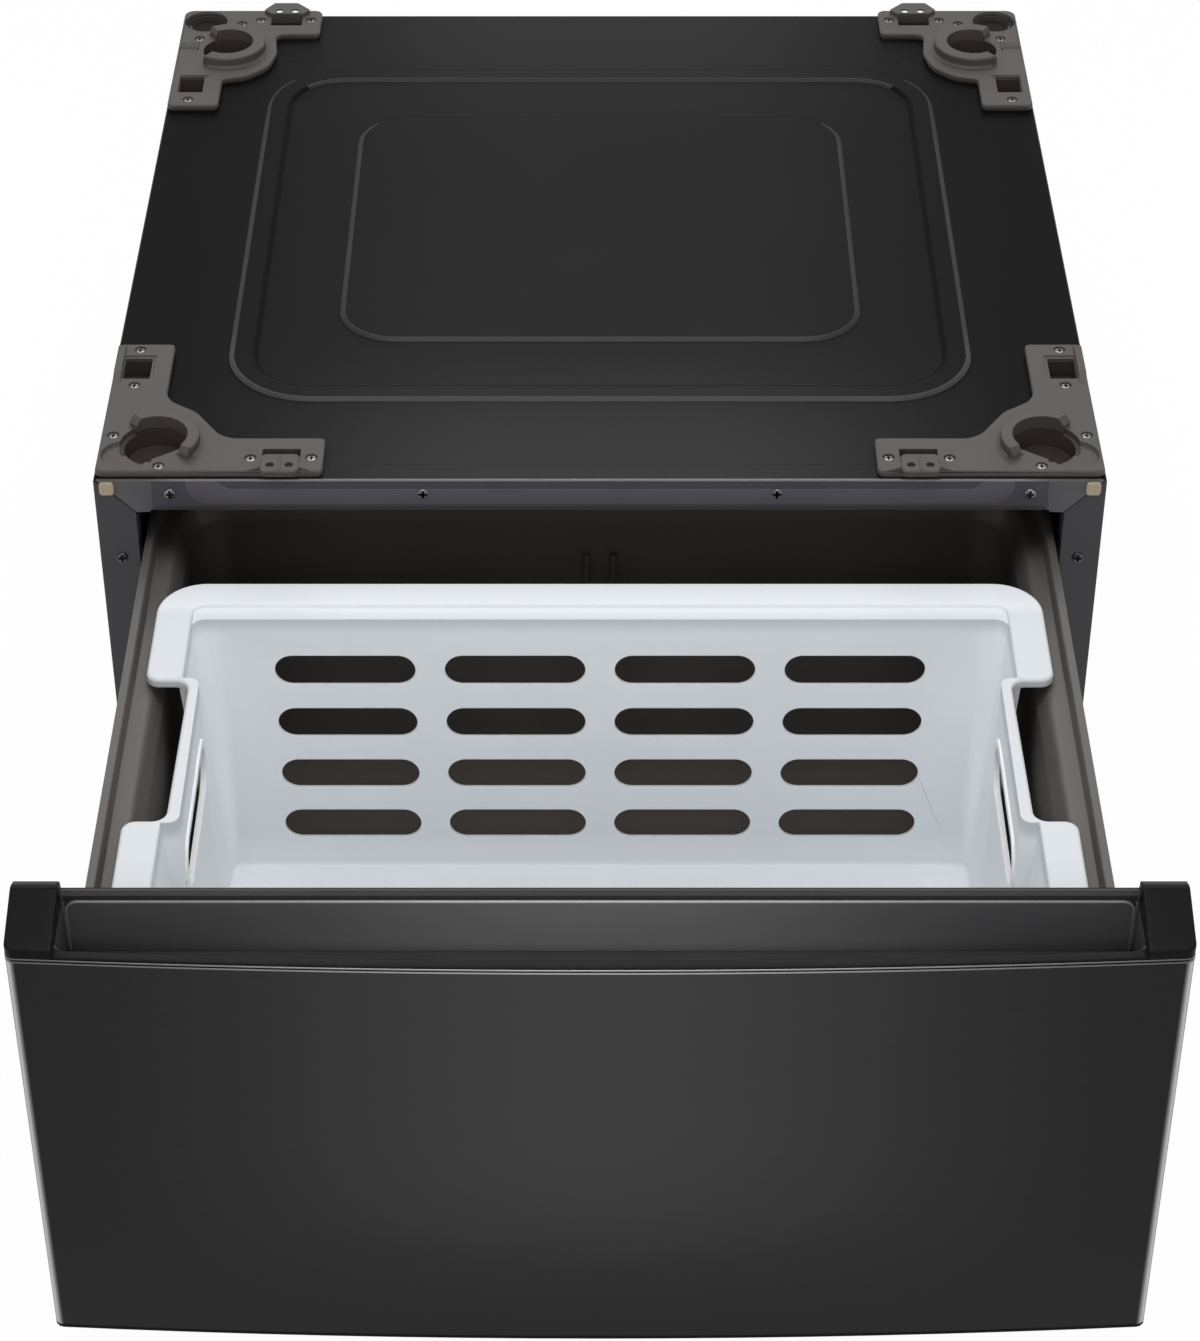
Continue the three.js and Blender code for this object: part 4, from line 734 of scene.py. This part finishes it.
def drawn_in(points, amount):
    """An outline of (a, b, radius) corners moved inward all round."""
    turn = sum(p[0] * q[1] - q[0] * p[1] for p, q in zip(points, points[1:] + points[:1]))
    made = []
    for before, (a, b, radius), after in zip(points[-1:] + points[:-1], points, points[1:] + points[:1]):
        arrive = Vector((a - before[0], b - before[1])).normalized()
        leave = Vector((after[0] - a, after[1] - b)).normalized()
        sides = [Vector((-way.y, way.x)) * math.copysign(1, turn) for way in (arrive, leave)]
        step = (sides[0] + sides[1]) * amount / (1 + sides[0].dot(sides[1]))
        made.append((a + step.x, b + step.y, radius))
    return made


def x_of(a):
    """Where a distance from the left side face lies across the cabinet."""
    return -SIDE + a


def from_front(b):
    return b


def from_rear(b):
    return DEPTH - b


def bracket_plate(outline, to_y):
    """A bracket's plate: its upper part over a sole that is drawn in all round."""
    return join(upright(outline, SOLE_TOP, BRACKET_TOP, to_y, 1.7, 10),
                upright(drawn_in(outline, 1.1), SHEET_TOP, BRACKET_TOP - 2, to_y, 0, 10))


def collar_and_fillet(x, y, radius, collar_turn, fillet_turn, steps):
    """The collar round a well and the fillet at its foot, each by its start and its sweep in degrees."""
    collar = [(radius - 3, 342), (COLLAR_OUTER, 342), (COLLAR_OUTER, COLLAR_TOP, 1.6),
              (radius - 3, COLLAR_TOP)]
    fillet = [(COLLAR_OUTER - 1, 343), (COLLAR_OUTER + 1.8, 343), (COLLAR_OUTER + 1.8, 344.15),
              (COLLAR_OUTER + 0.7, 344.8), (COLLAR_OUTER - 1, 346)]
    return swept(x, y, collar, *collar_turn, steps), swept(x, y, fillet, *fillet_turn, steps)


def seat_cuts(places, to_y):
    """The countersinks of a bracket's screws."""
    return [cylinder(x_of(a), to_y(b), 3.9, 342.2, BRACKET_TOP + 2, 4.3, 32) for a, b in places]


def front_bracket():
    x, at = x_of, from_front
    a, b, radius = FRONT_WELL
    outline = [(1.3, 1.3, 4), (155.4, 1.3, 4), (155.4, 41.8, 4), (85.3, 41.8, 18), (64.1, 74.1, 20),
               (41.5, 89.8, 18), (41.5, 160, 4), (1.3, 160, 4)]
    plate = bracket_plate(outline, at)
    cup = cylinder(x(a), b, radius + 2.5, 325.5, BRACKET_TOP - 1)
    collar, fillet = collar_and_fillet(x(a), b, radius, (-40, 172), (-31, 161), 60)
    pocket = block(x(SLOT_A[0] - 1.6), x(SLOT_A[1] + 1.6), SLOT_B[0] - 1.6, SLOT_B[1] + 1.6, 326, 339)
    pad = block(x(113.4), x(139.4), -4.3, 17.4, 343, 347.5, 4, 1.1)
    ridge = block(x(125.6), x(127.2), -3.2, 16, 346, 348.1, 0.3, 0.3)
    ramp = turned(prism([(x(102.5), 343.2), (x(114.5), 343.2), (x(114.5), 347.2)], -9.5, -2), ALONG_Y)
    far_ramp = turned(prism([(x(138.3), 343.2), (x(150.3), 343.2), (x(138.3), 347.2)], -9.5, -2), ALONG_Y)
    crest = [(105, 342.5), (105, 343.6), (122, 346.6, 3), (154, 346.6, 1.5), (156.5, 342.5)]
    rib = turned(prism(crest, x(1.9), x(7.3)), ALONG_X)
    collar = cut(collar, end_slope(x(a), b, 132, 1, 5), end_slope(x(a), b, -40, -1, 3.5))
    body = join(plate, cup, collar, fillet, pocket, pad, ridge, ramp, far_ramp)
    ledge = upright([(37, 6), (65, 6), (65, 33), (55.6, 27.5), (38.9, 15.9)], 337, 345, at)
    space = cut(well_space(x(a), b, radius), ledge)
    low_lip = [(radius - 3, 340), (radius + 3, 340), (radius + 3, 346), (radius - 3, 346)]
    shoulder = swept(x(a), b, low_lip, 132, 74, 30)
    dish = cylinder(x(20.5), 21.6, 16, 341.2, 346, 17.8)
    slot = latch_space(x(SLOT_A[0]), x(SLOT_A[1]), *SLOT_B)
    rim = block(x(SLOT_A[0] - 0.6), x(SLOT_A[1] + 2.6), SLOT_B[0] - 0.8, SLOT_B[1] + 2.8, 343, 350, 1.8)
    strap = block(x(113.4), x(139.4), 18, 28, 330, 350, 1.0)
    holes = [cylinder(x(126.4 + way * 6.45), 4.2, 2.6, 344.6, 350, 3.0, 32) for way in (-1, 1)]
    sunk = together(*holes, *seat_cuts(FRONT_SEATS, at))
    return together(cut(body, space, shoulder, dish, slot, rim, strap, sunk), rib)


def rear_bracket():
    x, at = x_of, from_rear
    a, b, radius = REAR_WELL
    outline = [(1.3, 1.3, 8), (1.3, 161.5, 4), (41.5, 161.5, 4), (41.5, 118, 5), (61, 113, 22),
               (77, 97, 22), (82, 74, 22), (79, 42.6, 7), (114.4, 42.6, 4), (114.4, 1.3, 6)]
    plate = bracket_plate(outline, at)
    cup = cylinder(x(a), at(b), radius + 2.5, 325.5, BRACKET_TOP - 1)
    collar, fillet = collar_and_fillet(x(a), at(b), radius, (-128, 252), (-119, 244), 84)
    near, far = REAR_SLOT_B
    pocket = block(x(SLOT_A[0] - 1.6), x(SLOT_A[1] + 1.6), at(far + 1.6), at(near - 1.6), 326, 339)
    hexagon = [(72.6, 13.6, 1), (99.4, 13.6, 1), (105, 7, 2), (94, -5.2, 3), (74.5, -5.2, 3), (66.8, 7, 2)]
    tab = upright(hexagon, 343, 347.5, at, 1.0, 6)
    collar = cut(collar, end_slope(x(a), at(b), 124, 1, 2.5), end_slope(x(a), at(b), -128, -1, 2.5))
    body = join(plate, cup, collar, fillet, pocket, tab)
    space = well_space(x(a), at(b), radius)
    relief = block(x(75), x(97.6), at(12), at(-7), 330, 345.9)
    steps = [(16.8, 341.8, 18.2), (14.4, 340.1, None), (12.2, 339, None), (9.7, 338.2, None)]
    recess = [cylinder(x(RECESS[0]), at(RECESS[1]), wide, z, 350, top) for wide, z, top in steps]
    slot = latch_space(x(SLOT_A[0]), x(SLOT_A[1]), at(far), at(near))
    rim = block(x(SLOT_A[0] - 0.6), x(SLOT_A[1] + 3), at(far + 3), at(near - 1), 343, 350, 1.8)
    strap = block(x(73.4), x(98.6), at(27.6), at(13.6), 330, 350, 1.0)
    holes = [cylinder(x(86 + way * 6.4), at(9.2), 2.9, 344, 350, 3.0, 32) for way in (-1, 1)]
    ribs = [block(x(2.6 + 2.7 * i), x(3.9 + 2.7 * i), at(67.6), at(57.6), 343.5, 344.9, 0.3, 0.2)
            for i in range(5)]
    ribs.append(block(x(16.4), x(17.8), at(69), at(56.6), 343.5, 345.2, 0.3, 0.3))
    sunk = together(*holes, *seat_cuts(REAR_SEATS, at))
    return together(cut(body, space, relief, *recess, slot, rim, strap, sunk), *ribs)


def coloured_bracket(shape, well, slot_b, to_y, recess=None):
    """A bracket whose well, slot and sole take its second finish, a painted shade, and whose recess takes the
    third, a darker painted shade.
    """
    bmesh.ops.dissolve_limit(shape, angle_limit=0.002, verts=shape.verts[:], edges=shape.edges[:])
    y0, y1 = sorted(to_y(b) for b in slot_b)
    for face in shape.faces:
        x, y, z = face.calc_center_median()
        a = x + SIDE
        in_well = math.hypot(a - well[0], y - to_y(well[1])) < well[2] + 0.3 and z < WELL_SHADE_TOP + 0.1
        in_slot = (SLOT_A[0] - 0.2 < a < SLOT_A[1] + 0.2 and y0 - 0.2 < y < y1 + 0.2
                   and z < SLOT_SHADE_TOP + 0.1)
        if recess and math.hypot(a - recess[0], y - to_y(recess[1])) < 9.9:
            face.material_index = 2
        elif (in_well or in_slot or z < SOLE_TOP + 0.05) and z > WELL_FLOOR - 0.5:
            face.material_index = 1
    return shape


def build_brackets():
    shapes = {
        "front": coloured_bracket(front_bracket(), FRONT_WELL, SLOT_B, from_front),
        "rear": coloured_bracket(rear_bracket(), REAR_WELL, REAR_SLOT_B, from_rear, RECESS),
    }
    for row, seats, to_y in (("front", FRONT_SEATS, from_front), ("rear", REAR_SEATS, from_rear)):
        shape = shapes[row]
        screws = together(*[moved(flat_head, x_of(a), to_y(b), 342.9) for a, b in seats])
        for side, bracket, heads in (("right", flipped(shape), flipped(screws)), ("left", shape, screws)):
            piece(f"{row}_corner_{side}", bracket, [bracket_grey, well_shade, recess_shade],
                  "cabinet", [f"{row}_bracket_{side}"], soft=0.3, sharp=38, split=False)
            piece(f"{row}_corner_screws_{side}", heads, [screw_steel, recess_shade], "cabinet",
                  sharp=30)


# ---------------------------------------------------------------- tub

# Rings of the tub: half width, how far behind the drawer front, rear end, height and corner radius.
TUB_OUTSIDE = [
    (279.5, 0, 56.5, 58.5, 26), (283, 0, 60, 59.8, 29), (284, 0, 61, 63, 30), (289, 0, 66, 177, 30),
    (289, 0, 66, 256, 30), (290.5, 0, 66.7, 260, 30), (309.5, 0, 75, 266.6, 30), (311.2, 0, 75.8, 268.6, 30),
    (311.5, 0, 76, 271, 30), (311.5, 0, 76, 286.2, 30), (311.2, 0, 75.7, 286.8, 29.7),
    (310.6, 0.3, 75.1, 287, 29.1),
]
TUB_INSIDE = [
    (306.8, 2.0, 71.3, 287, 28.4), (306.2, 2.3, 70.7, 286.8, 27.9), (305.9, 2.5, 70.4, 286.2, 27.5),
    (304.9, 2.5, 69.4, 275.9, 27.5), (304.4, 2.5, 69.1, 275.2, 27.5), (303.6, 2.5, 68.9, 275, 27.5),
    (295.6, 2.5, 68.6, 275, 27.5), (293.4, 2.5, 68.2, 274.4, 27.5), (291.8, 2.5, 67.4, 272.8, 27.5),
    (290.6, 2.5, 66.2, 270.2, 27.5), (286.9, 2.5, 63.8, 261.5, 27.5), (286.5, 2.5, 63.5, 258, 27.5),
    (286.5, 2.5, 63.5, 177, 27.5), (281.6, 2.5, 58.6, 66, 27.5), (280.5, 3.5, 57.5, 62.6, 26.5),
    (277.5, 6.5, 54.5, 61.1, 23.5), (274, 10, 51, 61, 20),
]


def build_tub():
    body = lofted([(half, FRONT_REAR + inset, *rest) for half, inset, *rest in TUB_OUTSIDE + TUB_INSIDE], 14)
    ribs = [block(way * 9.5 - 2, way * 9.5 + 2, 58.5, 65, 209, 231, 0.8, 0.8) for way in (-1, 1)]
    piece("tub", together(body, *ribs), tub_grey_and_shade, "drawer", ["drawer_tub"], soft=0.5, sharp=42)


# ---------------------------------------------------------------- basket

def build_basket():
    y0, y1 = -403.0, -45.0
    low, high = -292.0, -151.5  # the hand notches
    half, edge, notch, inner, wall = 272.0, 296.3, 269.5, 260.8, 2.5
    corners = [(edge, y0, 32), (edge, low, 9), (notch, low, 9), (notch - 1.8, high, 9), (edge, high, 9),
               (edge, y1, 32)]
    rim = prism(corners + [(-x, y, r) for x, y, r in reversed(corners)], 278.4, 285, 2.6, 12)
    end = 24.3 + 13
    outside = lofted([
        (253, y0 + end + 7, y1 - end - 7, 66.5, 9), (257, y0 + end + 3, y1 - end - 3, 67.6, 12),
        (259.2, y0 + end + 1.4, y1 - end - 1.4, 71, 14), (274.6, y0 + end - 2.8, y1 - end + 2.8, 280, 15)])
    inside = lofted([
        (252, y0 + end + 10, y1 - end - 10, 69, 8), (256, y0 + end + 6, y1 - end - 6, 70, 10),
        (258.8, y0 + end + 4, y1 - end - 4, 73.5, 11), (half, y0 + end, y1 - end, 281.6, 9),
        (half, y0 + end - 0.5, y1 - end + 0.5, 283, 9)])
    step = lofted([(half, y0 + 24.9, y1 - 24.9, 282, 8), (half, y0 + 24.3, y1 - 24.3, 284, 8),
                   (half + 2.2, y0 + 21.2, y1 - 21.2, 286, 10)])

    def side_box(reach, grow, z1, corner):
        return block(-SIDE, -reach, low - grow, high + grow, 60, z1, corner)

    hollow = side_box(inner + wall, 0, 287, 5)
    shell = cut(outside, hollow, flipped(hollow))
    keep = side_box(inner, wall, 290, 7)
    space = cut(join(inside, step), keep, flipped(keep))
    bead = cut(stadium(-224, 231, 129, 45, -inner - 0.5, -inner + 1.7),
               stadium(-224, 231, 118, 34, -inner - 3, -inner + 3))
    turned(bead, ALONG_X)
    slots = []
    for row in range(4):
        for column in range(4):
            x, z = (column - 1.5) * 114.6, 239.2 - row * 44.4
            slots.append(turned(stadium(x, z, 94.8, 24.4, 45, 403), ALONG_Y))
    hand_hole = turned(stadium(-224, 231, 118, 34, -SIDE, SIDE), ALONG_X)
    body = join(shell, rim)
    body = cut(body, space, together(*slots), hand_hole)
    body = join(body, bead, flipped(bead))
    piece("slotted_basket", body, basket_white_and_shade, "basket", ["basket"], soft=0.55, sharp=40)


# ---------------------------------------------------------------- drawer front

def bowed(half, inset, steps=48):
    """Points along the bowed front, from the left to the right."""
    radius = (SIDE ** 2 + FRONT_BOW ** 2) / (2 * FRONT_BOW)
    across = [half * (2 * k / steps - 1) for k in range(steps + 1)]
    return [(x, FRONTMOST + inset + radius - math.sqrt(radius ** 2 - x * x)) for x in across]


def front_plan(inset, rear):
    """The drawer front's outline from above, set in at its front and sides."""
    half = SIDE - inset
    arc = bowed(half, inset)
    corner = 6 - inset
    return [(*arc[0], corner), *arc[1:-1], (*arc[-1], corner), (half, rear), (-half, rear)]


def edge_line(low, high):
    """A thin line round the front's edge, a little proud of it, that carries a painted highlight."""
    return cut(prism(front_plan(0, -420), low, high, 0.3), prism(front_plan(0.6, -419), low - 1, high + 1))


def build_front():
    back = FRONT_REAR - SHEET
    skin = cut(prism(front_plan(0.2, back), 12.9, SKIN_TOP),
               prism(front_plan(SHEET, back - SHEET), 10, 330),
               block(-SIDE + 11, SIDE - 11, back - 3, back + 1, 10, 330))
    # painted shade: the skin's narrow side faces take the cap's black, as a dark line along the front's edges
    for face in skin.faces:
        if abs(face.normal.x) > 0.8 and abs(face.calc_center_median().x) > SIDE - 2:
            face.material_index = 1
    piece("front_skin_formed", skin, [brushed_face_and_sheen, cap_black], "drawer", ["front_skin"],
          soft=0.4)

    ear_inner, pocket_rear, floor = 314.8, FRONT_REAR - 3, 288.6
    ear_side = [(FRONTMOST - 1, 300), (FRONT_REAR, 300), (FRONT_REAR, 340, 1.5), (FRONT_REAR - 8.3, 343.7, 8),
                (FRONT_REAR - 41.4, 333.9, 30), (FRONTMOST - 1, 327.4)]
    ears = turned(prism(ear_side, -SIDE - 1, SIDE + 1), ALONG_X)
    upper = worked("INTERSECT", prism(front_plan(0.2, FRONT_REAR), SKIN_TOP + 0.6, 345), ears)
    pocket = prism([(x, y) if 0 < k < 48 else (x, y, 7) for k, (x, y) in enumerate(bowed(ear_inner, 8))]
                   + [(ear_inner, pocket_rear, 1), (-ear_inner, pocket_rear, 1)], floor, 360)
    above_lip = block(-ear_inner, ear_inner, FRONTMOST - 1, pocket_rear - 3, LIP_TOP, 360)
    above_rim = block(-ear_inner, ear_inner, pocket_rear - 1, FRONT_REAR + 1, RIM_TOP, 360)
    upper = cut(upper, pocket, above_lip, above_rim)
    softened(upper, 1.3, lambda e: all(v.co.z > SKIN_TOP + 1 for v in e.verts))
    lower = join(prism(front_plan(1.5, back), CAP_BOTTOM, SKIN_TOP + 0.8),
                 block(-SIDE + 1.2, SIDE - 1.2, back - 2, FRONT_REAR, CAP_BOTTOM, SKIN_TOP + 0.8))
    cap = join(upper, cut(lower, pocket))
    for face in cap.faces:
        behind_lip = all(v.co.y > FRONTMOST + 7.9 + (v.co.x / SIDE) ** 2 * FRONT_BOW for v in face.verts)
        x, y, z = face.calc_center_median()
        rear_wall = abs(face.normal.y) > 0.9 and y > pocket_rear - 0.3
        # painted light: the pocket takes a painted reflection, and its rear wall and the rim's top a dimmer
        # one that also stands for the rear wall's shade
        if behind_lip and abs(x) < ear_inner + 0.1 and z < RIM_TOP + 0.1 and y < FRONT_REAR - 0.2:
            face.material_index = 2 if rear_wall or z > RIM_TOP - 0.6 else 1
    piece("top_cap", cap, [cap_black, pocket_reflection, rim_reflection_and_shade], "drawer", ["front_top_cap"],
          soft=0.25)
    # strips that carry the painted highlights along the pocket's rear rim and at its ends
    long_strip = block(-ear_inner + 0.3, ear_inner - 0.3, pocket_rear - 0.35, pocket_rear + 0.3,
                       331.2, 334.3, 0, 0.3)
    end_strip = block(-ear_inner + 0.15, -ear_inner + 1.5, pocket_rear - 1.6, pocket_rear + 0.3,
                      290, 326.5, 0, 0.3)
    strips = together(long_strip, end_strip, flipped(end_strip))
    piece("rim_highlight_strips", strips, strip_highlight, "drawer")

    # two thin lines that carry the painted highlights of the lip's rounding and the skin's top edge
    lines = together(edge_line(324.0, 324.9), edge_line(321.6, SKIN_TOP - 0.1))
    piece("ridge_highlight_lines", lines, ridge_highlight, "drawer")
    half, line = ear_inner - 1.5, 1.2
    inner = half - line
    # the thin frame round the insert carries a painted highlight
    frame_line = cut(
        prism([(-half, 290), (half, 290), (half, 328.3, 7.7), (-half, 328.3, 7.7)], 415, 416.6, 0.4),
        prism([(-inner, 280), (inner, 280), (inner, 327.1, 6.5), (-inner, 327.1, 6.5)], 414, 418))
    piece("insert_frame", turned(frame_line, ALONG_Y), frame_shine, "drawer")


# ---------------------------------------------------------------- feet

def build_feet():
    thread = [(0, 6), (4.4, 6)]
    for turn in range(38):
        thread += [(5, 6.4 + turn * 1.5), (4.4, 7.15 + turn * 1.5)]
    stud = lathed(thread + [(4.2, 63.6), (3.6, 64), (0, 64)], 28)
    disc = lathed([(0, 0), (16.5, 0), (17.7, 0.5), (18, 1.6), (18, 4.2), (17.4, 5.4), (15.5, 6), (0, 6)], 56)
    hexagon = cylinder(0, 0, 13, 5, 18, 13, 6)
    pad = cut(join(disc, hexagon), cylinder(0, 0, 5.3, 6, 19, 5.3, 28))
    for row, y in (("front", 45), ("rear", DEPTH - 45)):
        for side, x in (("left", -SIDE + 24), ("right", SIDE - 24)):
            body = f"foot_{row}_{side}"
            piece(f"threaded_stud_{row}_{side}", moved(stud, x, y, 0), zinc, body,
                  [f"foot_stud_{row}_{side}"], sharp=25)
            piece(f"levelling_pad_{row}_{side}", moved(pad, x, y, 0), foot_black, body,
                  [f"foot_pad_{row}_{side}"], soft=0.6)


# ---------------------------------------------------------------- solids that keep their shape

def build_eased():
    for side in ("left", "right"):
        eased(f"{side}_side_panel", frame_paint, "cabinet", 0.5)
        eased(f"bumper_{side}", bumper_beige, "cabinet", 0.6)
        eased(f"base_rail_{side}", rail_paint, "cabinet", 0.35)
        eased(f"runner_support_{side}", rail_paint, "cabinet", 0.35)
        eased(f"runner_outer_{side}", zinc, "cabinet", 0.3)
        eased(f"runner_middle_{side}", zinc, f"runner_middle_{side}", 0.3)
        eased(f"runner_inner_{side}", zinc, "drawer", 0.3)
        for row in ("front", "rear"):
            eased(f"lock_nut_{row}_{side}", zinc, "cabinet", 0.5)
    eased("rear_panel", frame_paint, "cabinet", 0.35)
    for rail in ("front_top_rail", "base_rail_front", "base_rail_rear"):
        eased(rail, rail_paint, "cabinet", 0.35)
    eased("handle_insert", brushed_insert_and_sheen, "drawer", 0.4)
    eased("front_bottom_cap", cap_black, "drawer", 0.6)
    eased("front_inner_plate", rail_paint, "drawer", 0.3)


build_frame_screws()
build_top_sheet()
build_brackets()
build_tub()
build_basket()
build_front()
build_feet()
build_eased()


# ---------------------------------------------------------------- floor, world and lamps

def build_floor():
    bm = bmesh.new()
    bmesh.ops.create_grid(bm, x_segments=1, y_segments=1, size=8)
    mesh = bpy.data.meshes.new("studio_floor")
    bm.to_mesh(mesh)
    bm.free()
    floor = bpy.data.objects.new("studio_floor", mesh)
    bpy.context.scene.collection.objects.link(floor)
    material = bpy.data.materials.new("studio_floor")
    material.use_nodes = True
    tree = material.node_tree
    nodes, links = tree.nodes, tree.links
    nodes.remove(nodes["Principled BSDF"])
    paper = nodes.new("ShaderNodeBsdfDiffuse")
    paper.inputs["Color"].default_value = (0.95, 0.95, 0.95, 1)
    glow = nodes.new("ShaderNodeEmission")
    glow.inputs["Strength"].default_value = 1.0
    rays = nodes.new("ShaderNodeLightPath").outputs
    seen = math_node(tree, "MAXIMUM", rays["Is Camera Ray"], rays["Is Glossy Ray"])
    mix = nodes.new("ShaderNodeMixShader")
    links.new(math_node(tree, "MULTIPLY", seen, 0.97), mix.inputs[0])
    links.new(paper.outputs[0], mix.inputs[1])
    links.new(glow.outputs[0], mix.inputs[2])
    links.new(mix.outputs[0], nodes["Material Output"].inputs["Surface"])
    mesh.materials.append(material)


def build_world():
    world = bpy.data.worlds.new("studio")
    bpy.context.scene.world = world
    world.use_nodes = True
    tree = world.node_tree
    nodes, links = tree.nodes, tree.links
    ambient = nodes["Background"]
    white = nodes.new("ShaderNodeBackground")
    for light, strength in ((ambient, 0.4), (white, 1.0)):
        light.inputs["Color"].default_value = (1, 1, 1, 1)
        light.inputs["Strength"].default_value = strength
    rays = nodes.new("ShaderNodeLightPath").outputs
    seen = math_node(tree, "MAXIMUM", rays["Is Camera Ray"], rays["Is Glossy Ray"])
    mix = nodes.new("ShaderNodeMixShader")
    links.new(math_node(tree, "MAXIMUM", seen, rays["Is Transmission Ray"]), mix.inputs[0])
    links.new(ambient.outputs[0], mix.inputs[1])
    links.new(white.outputs[0], mix.inputs[2])
    links.new(mix.outputs[0], nodes["World Output"].inputs["Surface"])


def softbox(name, place, target, width, height, watts):
    lamp = bpy.data.lights.new(name, "AREA")
    lamp.shape = "RECTANGLE"
    lamp.size, lamp.size_y = width, height
    lamp.energy = watts
    made = bpy.data.objects.new(name, lamp)
    made.location = place
    made.rotation_euler = (Vector(target) - Vector(place)).to_track_quat("-Z", "Y").to_euler()
    bpy.context.scene.collection.objects.link(made)


build_floor()
build_world()
softbox("overhead_softbox", (0, -0.3, 2.6), (0, -0.3, 0.2), 1.2, 1.1, 24)
softbox("rear_softbox", (0, 1.9, 2.3), (0, -0.1, 0.3), 1.8, 0.9, 18)
softbox("front_softbox", (0, -2.4, 1.8), (0, -0.5, 0.2), 1.2, 0.6, 12)
softbox("left_strip", (-2.4, -1.4, 0.5), (-0.3, -0.5, 0.2), 0.3, 1.4, 9)
softbox("right_strip", (2.4, -1.4, 0.5), (0.3, -0.5, 0.2), 0.3, 1.4, 9)

scene = bpy.context.scene
scene.view_settings.view_transform = "Standard"
